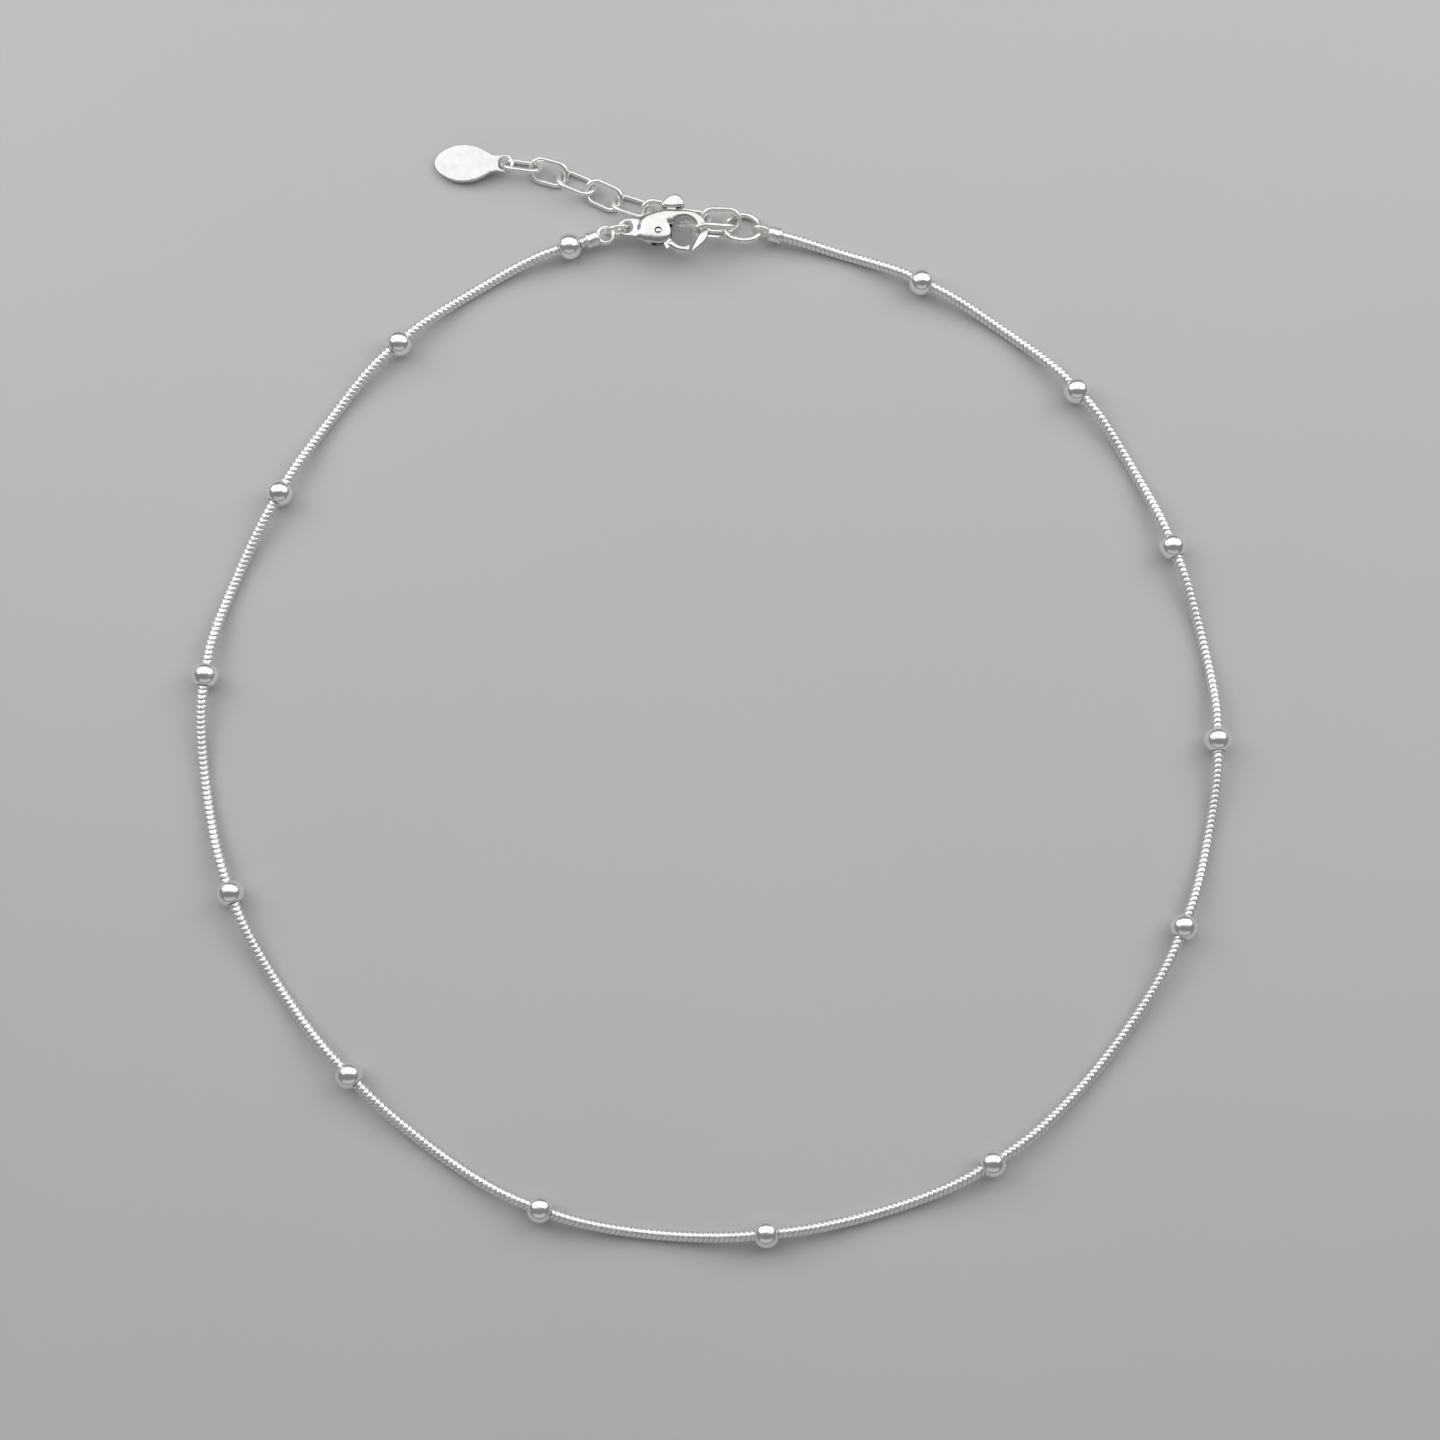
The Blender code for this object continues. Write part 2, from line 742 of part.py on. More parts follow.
def tab_outline():
    outline = []
    for angle, radius in TAB_CORNERS:
        x = PIVOT[0] + radius * cos(radians(angle))
        y = PIVOT[1] + radius * sin(radians(angle))
        outline.append((x, y))
    return outline


def make_clasp_lever(collection, cutters):
    lever = extruded_outline("clasp_lever", [sector_outline(HUB_SECTORS)], LEVER_THICKNESS, collection)
    for name, outline in (("lever_gate", gate_outline()), ("lever_tab", tab_outline())):
        piece = extruded_outline(name, [outline], GATE_THICKNESS, cutters)
        add_bevel(piece, LEVER_BEVEL)
        apply_modifiers(piece)
        join_with(lever, piece, "UNION")
    cut_hole(lever, PIVOT, PIN_HOLE_RADIUS, cutters)
    finish_part(lever, "clasp")
    pivot = Matrix.Translation(point(*PIVOT))
    lever.data.transform(pivot.inverted())
    lever.matrix_world = clasp_frame() @ pivot


def make_clasp_pin(collection):
    pin = cylinder("clasp_pin", PIN_RADIUS, PIN_LENGTH, PIN_STEPS, collection)
    finish_part(pin, "clasp", clasp_frame() @ Matrix.Translation(point(*PIVOT)))


def build():
    clear_scene()
    choker = make_collection("ball_chain_choker")
    cutters = make_collection("cutters")
    make_chain(choker)
    make_beads(choker)
    make_caps(choker, cutters)
    make_rings(choker)
    make_clasp_body(choker, cutters)
    make_clasp_lever(choker, cutters)
    make_clasp_pin(choker)
    make_hook_link(choker)
    tag_hole = make_extender(choker)
    make_tag(tag_hole, choker)


build()
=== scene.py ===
"""Ball chain choker, dressed: a woven round snake chain through drilled beads, end caps, rings,
a lobster clasp, an extender of oval links and a plain oval tag, all in polished silver.
Lengths in the tables are in millimetres unless they say metres, and the scene is in metres."""

from math import acos, atan2, cos, degrees, hypot, pi, radians, sin

import bmesh
import bpy
import numpy as np
from mathutils import Matrix, Vector
from mathutils.geometry import delaunay_2d_cdt


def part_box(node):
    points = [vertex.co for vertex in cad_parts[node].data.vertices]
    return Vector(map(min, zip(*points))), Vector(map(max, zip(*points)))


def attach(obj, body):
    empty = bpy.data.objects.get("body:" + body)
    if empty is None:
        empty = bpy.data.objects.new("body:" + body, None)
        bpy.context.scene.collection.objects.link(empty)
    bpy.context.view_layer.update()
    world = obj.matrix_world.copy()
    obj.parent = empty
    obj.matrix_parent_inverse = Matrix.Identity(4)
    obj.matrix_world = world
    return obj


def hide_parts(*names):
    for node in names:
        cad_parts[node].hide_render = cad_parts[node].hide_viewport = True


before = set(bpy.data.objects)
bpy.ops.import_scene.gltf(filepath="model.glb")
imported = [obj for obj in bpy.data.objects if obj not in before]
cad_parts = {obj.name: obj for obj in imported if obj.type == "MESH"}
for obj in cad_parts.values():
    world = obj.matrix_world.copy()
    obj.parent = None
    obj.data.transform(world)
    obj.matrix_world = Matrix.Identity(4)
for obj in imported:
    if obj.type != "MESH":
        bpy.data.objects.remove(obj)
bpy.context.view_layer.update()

MM = 0.001
CHOKER = "choker"
LEVER = "lever"
BEAD_COUNT = 14
LINK_COUNT = 8

# Radius that stands for the axis of a turned piece
AXIS = 0.001

# Points this close are one: millimetres along the chain's route, then metres in the meshes
SAME_PLACE = 1e-4
WELD_DISTANCE = 1e-7
CUT_WELD_DISTANCE = 1e-6

# Camera, as the photograph was taken: millimetres, degrees and pixels
CAMERA_TARGET = (0.8, -4.65, 0.0)
CAMERA_ELEVATION = 80.0
CAMERA_DISTANCE = 300.0
CAMERA_FOCAL_PIXELS = 2727.0
CAMERA_NEAR = 5.0
PHOTO_WIDTH = 1440.0
SENSOR_WIDTH = 36.0

# Lamps that face the origin: name, place and size in metres, and the panel's radiance
LIGHTS = (
    ("softbox", (0.0, 0.2, 0.3), (1.1, 0.42), 1.0),
    ("left_key", (-0.32, 0.2, 0.26), (0.27, 0.27), 1.7),
    ("right_key", (0.32, 0.2, 0.26), (0.27, 0.27), 1.7),
    ("front_fill", (0.0, -0.5, 0.25), (1.0, 0.3), 0.3),
)

# Room and floor, in metres
ROOM_COLOUR = (0.80, 0.81, 0.80)
ROOM_BRIGHTNESS = 0.25
FLOOR_SIZE = 24.0
FLOOR_GRID = 8
FLOOR_DARK = (0.55, 0.554, 0.55)
FLOOR_LIGHT = (0.57, 0.574, 0.57)
FLOOR_TONE_STOPS = (0.3, 0.7)
FLOOR_CLOUD_SCALE = 9.0
FLOOR_ROUGHNESS = 0.75
FLOOR_SPECULAR = 0.3
TOOTH_SCALE = 1500.0
TOOTH_STRENGTH = 0.08
TOOTH_HEIGHT = 0.0001

# Silvers: slot, light tone, dark tone, roughness, depth of the scratches, and painted shade in the
# grooves or not
SILVERS = (
    ("chain", (0.94, 0.94, 0.92), (0.88, 0.88, 0.86), 0.36, 0.2, True),
    ("bead", (0.97, 0.97, 0.95), (0.93, 0.93, 0.915), 0.2, 0.05, False),
    ("link", (0.95, 0.95, 0.92), (0.89, 0.89, 0.86), 0.27, 0.2, False),
    # The clasp and the tag have a darker copy of the same silver: painted shade that holds down the
    # bright reflections of their broad faces
    ("clasp", (0.80, 0.80, 0.775), (0.75, 0.75, 0.73), 0.17, 0.25, False),
    ("tag", (0.78, 0.78, 0.765), (0.71, 0.71, 0.70), 0.18, 0.3, False),
)

# What the silvers share: scales to the metre and heights in metres
TONE_STOPS = (0.32, 0.68)
TONE_SCALE = 900.0
GLOSS_STOPS = (0.3, 0.72)
GLOSS_SHARES = (0.75, 1.45)
GLOSS_SCALE = 2600.0
# Painted shade in the chain's grooves: where it starts and ends across the groove, and how dark it
# is
GROOVE_SHADE_STOPS = (0.35, 1.0)
GROOVE_SHADE_TONE = 0.5
HAIR_SCALE = 5200.0
HAIR_STRETCH = (1.0, 0.12, 0.35)
PIT_SCALE = 3300.0
SCRATCH_HEIGHT = 0.00001

# Chain
CHAIN_RADIUS = 0.6
CHAIN_FLOOR_GAP = 0.03
CHAIN_BULGE = 0.82
CHAIN_IN_CAP = 0.9
CHAIN_STEP = 0.25
CHAIN_SAMPLE = 0.1
CHAIN_SMOOTHING = 6
BEAD_STRAIGHT = 1.7
SAG_SPAN = 8.0
WEAVE_PITCH = 0.56
WEAVE_WAVE = 0.13
WEAVE_LOBES = 2
WEAVE_GROOVE = 0.07
WEAVE_SHARPNESS = 3.4
WEAVE_ROWS = 8
WEAVE_SIDES = 28

# Beads
BEAD_RADIUS = 1.5
BEAD_BORE_RADIUS = 0.78
BEAD_LIP = 0.07

# End caps
CAP_RADIUS = 0.95
CAP_BORE_RADIUS = 0.75
CAP_LENGTH = 1.5
CAP_DEPTH = 1.1
CAP_LIP = 0.1
CAP_BORE_EDGE = 0.06
CAP_DOME = 0.3
CAP_END_RADIUS = 0.3
LOOP_RADIUS = 0.9
LOOP_WIRE = 0.25
LOOP_SEAT = 0.8
LEFT_CAP_HEIGHT = BEAD_RADIUS
RIGHT_CAP_HEIGHT = 1.4
LEFT_CAP_HEADING = 18.0
LEFT_CAP_DISTANCE = 2.0
LEFT_LOOP_TURN = 0.0
RIGHT_CAP_HEADING = -14.0
RIGHT_LOOP_CENTRE = (5.5, 51.2)
RIGHT_LOOP_TURN = 80.0

# The cups' rims: how far in from the outer radius, and the height
CAP_RIM = ((0.0, 0.16), (0.01, 0.26), (0.05, 0.32))

# Rings: name, x, y, z, heading, turn, radius, wire
RINGS = (
    ("clasp_ring", -10.82, 51.05, 2.0, 12.5, 90.0, 1.3, 0.25),
    ("jump_ring", 3.4, 51.66, 1.29, -4.9, -26.7, 2.05, 0.35),
)
RING_CUT_ANGLE = 115.0
RING_CUT = 0.03

# Links
LINK_WIRE = 0.275
LINK_WIDTH = 3.1
LINK_LENGTH = 4.8
LINK_PITCH = 3.43
LINK_TURN = 29.0
LINK_FLOOR_GAP = 0.02
ROUTE_STEP = 0.2
LAST_LINK_PITCH = 3.11
LAST_LINK_TURN = 49.0
EXTENDER_ROUTE = (
    (3.0, 52.6),
    (-2.8, 52.95),
    (-9.4, 54.4),
    (-15.7, 57.2),
    (-19.4, 58.6),
    (-26.0, 59.6),
)
HOOK_LINK_ENDS = ((-2.136, 50.58, 3.63), (2.45, 50.99, 1.585))
HOOK_LINK_TURN = 80.2

# Tag
TAG_THICKNESS = 0.5
TAG_HOLE_RADIUS = 0.72
TAG_HOLE_OFFSET = 1.97
TAG_HOLE_HEIGHT = 1.264
TAG_RIM = 0.5
TAG_SWELL = 0.14
TAG_HEADING = 177.2
TAG_TURN = -2.5
TAG_FLOOR_GAP = 0.15
TAG_OUTLINE_STEP = 0.1
TAG_ROUNDING = 2
TAG_SIDE = (
    (-1.12, 0.0),
    (-0.95, 0.6),
    (-0.4, 1.04),
    (0.5, 1.0),
    (1.4, 1.05),
    (2.2, 1.5),
    (3.2, 1.97),
    (4.5, 2.2),
    (5.8, 2.08),
    (6.9, 1.6),
    (7.7, 0.9),
    (8.1, 0.0),
)

# Clasp
CLASP_CENTRE = (-3.05, 50.5, 2.98)
CLASP_HEADING = -5.0
CLASP_TAIL_DROP = 6.0
HOLE_RADIUS = 1.6
CLAW_RADIUS = 2.5
BODY_THICKNESS = 2.0
BODY_RIM = 0.52
BODY_SWELL = 1.9
BELLY_POINTS = ((-5.2, -1.1), (-4.2, -1.5))
BACK_POINTS = ((-1.6, 2.5), (-2.6, 2.48), (-3.6, 2.18), (-4.7, 1.72), (-5.7, 1.38))
EYE_CENTRE = (-6.6, 0.2)
EYE_OUTER_RADIUS = 1.1
EYE_HOLE_RADIUS = 0.62
EYE_ANGLES = (110.0, 285.0)
PIVOT = (-3.0, -0.2)
CHEEK_RADIUS = 1.4
CHEEK_ANGLES = (-105.0, 40.0)
CLAW_INSIDE_START = 150.0
CLAW_OUTSIDE_END = 100.0
CLAW_ROUNDING = 3
PIN_LENGTH = 1.9
PIN_RADIUS = 0.3
PIN_HOLE_RADIUS = 0.4
TIP_CUT_RADIUS = 4.4
TIP_ANGLES = (-170.0, 0.0)
TIP_HALVINGS = 40
SLOT_HEIGHT = 1.0

# The pin's ends: radius, and how far below the end
PIN_END = ((AXIS, 0.0), (0.2, 0.01), (PIN_RADIUS, 0.08))

# Tapers: where they start and end along the clasp, and the share of the thickness left there
CLAW_TAPER = (-0.8, 1.2, 0.58)
TAIL_TAPER = (-4.4, -6.0, 0.45)

# Sectors round the pivot: start angle, end angle, radius
SLOT_SECTORS = (
    (-120.0, 45.0, 1.7),
    (47.0, 108.0, 3.9),
    (110.0, 238.0, 1.3),
)
HUB_SECTORS = (
    (-62.0, -31.0, 2.2),
    (-28.0, 57.0, 1.1),
    (60.0, 76.0, 3.7),
    (79.0, 297.0, 1.1),
)

# Lever, with the tab's corners as angle and radius round the pivot
LEVER_THICKNESS = 0.8
GATE_THICKNESS = 1.3
GATE_RIM = 0.45
GATE_SWELL = 0.42
TAB_SWELL = 0.35
GATE_INSET = 0.05
GATE_REACH = 4.25
GATE_ANGLES = (-143.0, -66.0)
GATE_ROUNDING = 2
TAB_ROUNDING = 10
TAB_CORNERS = (
    (50.0, 4.05),
    (62.0, 3.25),
    (74.0, 2.98),
    (92.0, 2.92),
    (90.0, 3.5),
    (82.0, 4.3),
    (74.0, 4.8),
    (65.0, 4.9),
    (57.0, 4.6),
)

# Facets and shading
WIRE_SHARP_ANGLE = 50.0
PLATE_SHARP_ANGLE = 32.0
NORMAL_WEIGHT = 60
CAP_ARC_STEPS = 8
LIP_STEPS = 6
BEAD_STEPS = 34
BEAD_SEGMENTS = 56
CAP_SEGMENTS = 48
PIN_SEGMENTS = 32
RING_SEGMENTS = 72
WIRE_SIDES = 16
LINK_END_SEGMENTS = 18
CLAW_STEPS = 36
CLASP_STEPS = 24
SECTOR_STEPS = 12
OUTLINE_STEP = 0.11
FEWEST_POINTS = 12
HOLE_STEPS = 40

# Points on a swollen face: the rings along its edge, and how close points may lie
SWELL_RINGS = 9
RING_SHARE = 0.97
GRID_MARGIN = 0.3 * OUTLINE_STEP
MOST_ROOM = 0.6 * OUTLINE_STEP
LEAST_ROOM = 0.006
EDGE_ROOM_SHARE = 0.45
MESH_TOLERANCE = 1e-6


# Points and frames


def point(x, y, z=0.0):
    return Vector((x, y, z)) * MM


def turned_frame(centre, heading, turn, drop=0.0):
    """A frame at a centre given in millimetres: its x axis points along the heading and drops
    by the drop angle towards -x, and its y axis is turned about x, up for a positive turn."""
    return (
        Matrix.Translation(point(*centre))
        @ Matrix.Rotation(radians(heading), 4, "Z")
        @ Matrix.Rotation(radians(-drop), 4, "Y")
        @ Matrix.Rotation(radians(turn), 4, "X")
    )


def frame_between(start, end, turn):
    """A frame half-way between two points, with its x axis along them."""
    run = Vector(end) - Vector(start)
    heading = degrees(atan2(run.y, run.x))
    rise = degrees(atan2(run.z, hypot(run.x, run.y)))
    centre = (Vector(start) + Vector(end)) / 2.0
    return turned_frame(centre, heading, turn, drop=rise)


def arc(centre, radius, start, end, steps):
    """Points on an arc in millimetres, from one angle to another in degrees."""
    points = []
    for step in range(steps + 1):
        angle = radians(start + (end - start) * step / steps)
        points.append((centre[0] + radius * cos(angle), centre[1] + radius * sin(angle)))
    return points


def unit(vector):
    length = hypot(vector[0], vector[1])
    return (vector[0] / length, vector[1] / length)


def hermite(start, start_pull, end, end_pull, t):
    """A cubic between two points with a pull at each, as one coordinate."""
    return (
        (2 * t ** 3 - 3 * t ** 2 + 1) * start + (t ** 3 - 2 * t ** 2 + t) * start_pull
        + (-2 * t ** 3 + 3 * t ** 2) * end + (t ** 3 - t ** 2) * end_pull
    )


# Materials


def new_material(name):
    material = bpy.data.materials.new(name)
    material.use_nodes = True
    tree = material.node_tree
    shader = tree.nodes["Principled BSDF"]
    return material, tree, shader


def add_node(tree, kind, **inputs):
    node = tree.nodes.new(kind)
    for name, value in inputs.items():
        node.inputs[name.replace("_", " ")].default_value = value
    return node


def noise(tree, scale, detail, roughness=0.55, stretch=None):
    """A noise texture in the object's own coordinates, stretched where a stretch is given."""
    coordinates = tree.nodes.new("ShaderNodeTexCoord")
    texture = add_node(tree, "ShaderNodeTexNoise", Scale=scale, Detail=detail, Roughness=roughness)
    source = coordinates.outputs["Object"]
    if stretch is not None:
        mapping = tree.nodes.new("ShaderNodeMapping")
        mapping.inputs["Scale"].default_value = stretch
        tree.links.new(source, mapping.inputs["Vector"])
        source = mapping.outputs["Vector"]
    tree.links.new(source, texture.inputs["Vector"])
    return texture.outputs["Fac"]


def ramp(tree, source, stops):
    """A colour ramp with a grey level or a colour at each stop."""
    node = tree.nodes.new("ShaderNodeValToRGB")
    elements = node.color_ramp.elements
    while len(elements) > 1:
        elements.remove(elements[-1])
    for number, (place, value) in enumerate(stops):
        element = elements[0] if number == 0 else elements.new(place)
        element.position = place
        colour = value if isinstance(value, tuple) else (value, value, value)
        element.color = (*colour, 1.0)
    tree.links.new(source, node.inputs["Fac"])
    return node.outputs["Color"]


def mix_colour(tree, factor, first, second):
    node = tree.nodes.new("ShaderNodeMix")
    node.data_type = "RGBA"
    sockets = (node.inputs[0], node.inputs[6], node.inputs[7])
    for socket, value in zip(sockets, (factor, first, second)):
        if isinstance(value, bpy.types.NodeSocket):
            tree.links.new(value, socket)
        elif isinstance(value, tuple):
            socket.default_value = (*value, 1.0)
        else:
            socket.default_value = value
    return node.outputs[2]


def silver(name, colour, shade, roughness, scratch, shade_in_grooves):
    """Polished silver: faint clouds in colour and gloss, fine scratches in the polish and,
    where the mesh has a groove attribute, painted shade that darkens the grooves."""
    material, tree, shader = new_material(name)
    shader.inputs["Metallic"].default_value = 1.0
    clouds = noise(tree, TONE_SCALE, 4.0)
    tone = ramp(tree, clouds, zip(TONE_STOPS, (shade, colour)))
    # Painted shade: the colour darkens towards the bottom of the chain's grooves
    if shade_in_grooves:
        groove = tree.nodes.new("ShaderNodeAttribute")
        groove.attribute_name = "groove"
        groove_shade_mask = ramp(tree, groove.outputs["Fac"], zip(GROOVE_SHADE_STOPS, (0.0, 1.0)))
        groove_shade_colour = tuple(GROOVE_SHADE_TONE * channel for channel in shade)
        tone = mix_colour(tree, groove_shade_mask, tone, groove_shade_colour)
    tree.links.new(tone, shader.inputs["Base Color"])

    wear = noise(tree, GLOSS_SCALE, 5.0, 0.6)
    gloss = ramp(tree, wear, zip(GLOSS_STOPS, (roughness * share for share in GLOSS_SHARES)))
    tree.links.new(gloss, shader.inputs["Roughness"])

    hairs = noise(tree, HAIR_SCALE, 2.0, 0.5, stretch=HAIR_STRETCH)
    pits = noise(tree, PIT_SCALE, 6.0, 0.6)
    height = mix_colour(tree, 0.5, hairs, pits)
    bump = add_node(tree, "ShaderNodeBump", Strength=scratch, Distance=SCRATCH_HEIGHT)
    tree.links.new(height, bump.inputs["Height"])
    tree.links.new(bump.outputs["Normal"], shader.inputs["Normal"])
    return material


def floor_material():
    """A pale matt sheet with a faint fine tooth."""
    material, tree, shader = new_material("pale_sheet")
    clouds = noise(tree, FLOOR_CLOUD_SCALE, 2.0)
    tone = ramp(tree, clouds, zip(FLOOR_TONE_STOPS, (FLOOR_DARK, FLOOR_LIGHT)))
    tree.links.new(tone, shader.inputs["Base Color"])
    shader.inputs["Roughness"].default_value = FLOOR_ROUGHNESS
    shader.inputs["Specular IOR Level"].default_value = FLOOR_SPECULAR
    tooth = noise(tree, TOOTH_SCALE, 4.0)
    bump = add_node(tree, "ShaderNodeBump", Strength=TOOTH_STRENGTH, Distance=TOOTH_HEIGHT)
    tree.links.new(tooth, bump.inputs["Height"])
    tree.links.new(bump.outputs["Normal"], shader.inputs["Normal"])
    return material


MATERIALS = {
    slot: silver(f"{slot}_silver", colour, shade, roughness, scratch, shade_in_grooves)
    for slot, colour, shade, roughness, scratch, shade_in_grooves in SILVERS
}


# Pieces


def register(obj, slot, body, *nodes):
    """Give a finished piece the material of its slot and its body, and hide the nodes it stands
    for.
    """
    obj.data.materials.clear()
    obj.data.materials.append(MATERIALS[slot])
    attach(obj, body)
    if nodes:
        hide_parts(*nodes)


def mesh_object(name, vertices, faces, matrix=None):
    """A smooth mesh object whose vertices are in metres and whose place is in its mesh."""
    mesh = bpy.data.meshes.new(name)
    mesh.from_pydata([tuple(vertex) for vertex in vertices], [], [tuple(face) for face in faces])
    if matrix is not None:
        mesh.transform(matrix)
    mesh.validate()
    mesh.shade_smooth()
    obj = bpy.data.objects.new(name, mesh)
    bpy.context.scene.collection.objects.link(obj)
    return obj


def grid_faces(rows, columns, closed_rows=False):
    """Quads over rows of points that each close in a ring, the rows closed too if asked."""
    faces = []
    last_row = rows if closed_rows else rows - 1
    for row in range(last_row):
        after = (row + 1) % rows
        for column in range(columns):
            beside = (column + 1) % columns
            faces.append((
                row * columns + column, after * columns + column,
                after * columns + beside, row * columns + beside,
            ))
    return faces


def lathe(profile, segments, closed=True):
    """Vertices and faces of a profile of (radius, height) turned about z, in metres."""
    vertices = []
    for radius, height in profile:
        for number in range(segments):
            angle = 2 * pi * number / segments
            vertices.append(point(radius * cos(angle), radius * sin(angle), height))
    faces = [face[::-1] for face in grid_faces(len(profile), segments, closed)]
    return vertices, faces


def ring_mesh(radius, wire, segments, sides, gap=0.0):
    """A round wire bent to a ring in its own plane, with a fine cut where a gap is given."""
    vertices = []
    sweep = 2 * pi - gap
    rows = segments + 1 if gap else segments
    for number in range(rows):
        turn = gap / 2 + sweep * number / segments
        for side in range(sides):
            angle = 2 * pi * side / sides
            reach = radius + wire * cos(angle)
            vertices.append(point(reach * cos(turn), reach * sin(turn), wire * sin(angle)))
    faces = grid_faces(rows, sides, closed_rows=not gap)
    if gap:
        faces.append(tuple(range(sides)))
        faces.append(tuple(reversed(range((rows - 1) * sides, rows * sides))))
    return vertices, faces


def oval_mesh(length, width, wire, end_segments, sides):
    """A round wire bent to an oval with round ends, in its own plane."""
    radius = width / 2 - wire
    straight = length / 2 - wire - radius
    line = []
    for middle, start in ((straight, -90.0), (-straight, 90.0)):
        for step in range(end_segments + 1):
            angle = radians(start + 180.0 * step / end_segments)
            line.append((middle + radius * cos(angle), radius * sin(angle), cos(angle), sin(angle)))
    vertices = []
    for x, y, out_x, out_y in line:
        for side in range(sides):
            angle = 2 * pi * side / sides
            reach = wire * cos(angle)
            vertices.append(point(x + reach * out_x, y + reach * out_y, wire * sin(angle)))
    return vertices, grid_faces(len(line), sides, closed_rows=True)


# The chain's route, as in the solid


def bead_centre(number):
    low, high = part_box(f"bead_{number:02d}")
    return ((low[0] + high[0]) / 2 / MM, (low[1] + high[1]) / 2 / MM)


BEADS = [bead_centre(number) for number in range(1, BEAD_COUNT + 1)]


def cap_mouths():
    """The middle of each cap's open face, seen from above."""
    left = radians(LEFT_CAP_HEADING)
    right = radians(RIGHT_CAP_HEADING)
    reach = LOOP_SEAT + CAP_LENGTH
    first = BEADS[0]
    left_mouth = (
        first[0] + LEFT_CAP_DISTANCE * cos(left), first[1] + LEFT_CAP_DISTANCE * sin(left),
    )
    right_mouth = (
        RIGHT_LOOP_CENTRE[0] + reach * cos(right), RIGHT_LOOP_CENTRE[1] + reach * sin(right),
    )
    return left_mouth, right_mouth


def bead_directions():
    """The chain's direction at each bead, as on a circle through it and its neighbours."""
    stops = [cap_mouths()[0], *BEADS, cap_mouths()[1]]
    directions = []
    for before, here, after in zip(stops, stops[1:], stops[2:]):
        back = (here[0] - before[0], here[1] - before[1])
        ahead = (after[0] - here[0], after[1] - here[1])
        back_length = hypot(*back)
        ahead_length = hypot(*ahead)
        weighted = (
            unit(back)[0] * ahead_length + unit(ahead)[0] * back_length,
            unit(back)[1] * ahead_length + unit(ahead)[1] * back_length,
        )
        directions.append(unit(weighted))
    heading = radians(LEFT_CAP_HEADING)
    directions[0] = (-cos(heading), -sin(heading))
    return directions


def chain_height(t, start, end, span):
    """The chain sags to the surface where the span is long and slopes evenly where it isn't."""
    if span < SAG_SPAN:
        return start + (end - start) * t
    low = CHAIN_RADIUS + CHAIN_FLOOR_GAP
    side = start if t < 0.5 else end
    return low + (side - low) * (0.5 + 0.5 * cos(2 * pi * t))


def chain_route():
    """Close points along the chain's middle in millimetres, and the number of the point that
    lies at each bead."""
    left_mouth, right_mouth = cap_mouths()
    right = radians(RIGHT_CAP_HEADING)
    left = radians(LEFT_CAP_HEADING)
    # Each stop has its place, the chain's direction in x and y, and the straight run beside it
    stops = [(*left_mouth, LEFT_CAP_HEIGHT, -cos(left), -sin(left), 0.0)]
    for bead, direction in zip(BEADS, bead_directions()):
        stops.append((*bead, BEAD_RADIUS, *direction, BEAD_STRAIGHT))
    stops.append((*right_mouth, RIGHT_CAP_HEIGHT, -cos(right), -sin(right), 0.0))

    route = [(
        left_mouth[0] + CHAIN_IN_CAP * cos(left), left_mouth[1] + CHAIN_IN_CAP * sin(left),
        LEFT_CAP_HEIGHT,
    )]
    beads = []
    for here, after in zip(stops, stops[1:]):
        x, y, height, along_x, along_y, straight = here
        after_x, after_y, after_height, after_along_x, after_along_y, after_straight = after
        if straight > 0.0:
            beads.append(len(route))
        route.append((x, y, height))
        start = (x + along_x * straight, y + along_y * straight)
        end = (after_x - after_along_x * after_straight, after_y - after_along_y * after_straight)
        span = hypot(end[0] - start[0], end[1] - start[1])
        pull = CHAIN_BULGE * span
        pieces = max(2, round(span / CHAIN_STEP))
        for number in range(pieces + 1):
            t = number / pieces
            route.append((
                hermite(start[0], along_x * pull, end[0], after_along_x * pull, t),
                hermite(start[1], along_y * pull, end[1], after_along_y * pull, t),
                chain_height(t, height, after_height, span),
            ))
    route.append((*right_mouth, RIGHT_CAP_HEIGHT))
    route.append((
        right_mouth[0] - CHAIN_IN_CAP * cos(right), right_mouth[1] - CHAIN_IN_CAP * sin(right),
        RIGHT_CAP_HEIGHT,
    ))
    return route, beads


def route_frames(route):
    """Distances, places and the two cross directions at even steps along a route, and the
    distance of each of the route's own points."""
    places = [route[0]]
    kept = [0]
    for place in route[1:]:
        if (Vector(place) - Vector(places[-1])).length > SAME_PLACE:
            places.append(place)
        kept.append(len(places) - 1)
    places = np.array(places)
    steps = np.linalg.norm(np.diff(places, axis=0), axis=1)
    distances = np.concatenate(([0.0], np.cumsum(steps)))
    even = np.arange(0.0, distances[-1], CHAIN_SAMPLE)
    even = np.append(even, distances[-1])
    smooth = np.stack([np.interp(even, distances, places[:, axis]) for axis in range(3)], axis=1)
    for _ in range(CHAIN_SMOOTHING):
        smooth[1:-1] = 0.25 * smooth[:-2] + 0.5 * smooth[1:-1] + 0.25 * smooth[2:]
    tangents = np.gradient(smooth, axis=0)
    tangents /= np.linalg.norm(tangents, axis=1)[:, None]
    up = np.array((0.0, 0.0, 1.0))
    side = np.cross(up, tangents)
    side /= np.linalg.norm(side, axis=1)[:, None]
    over = np.cross(tangents, side)
    return even, smooth, side, over, distances[kept]


def at(distances, table, where):
    """The rows of a table read at any distance along the route."""
    return np.stack([np.interp(where, distances, table[:, axis]) for axis in range(3)], axis=-1)


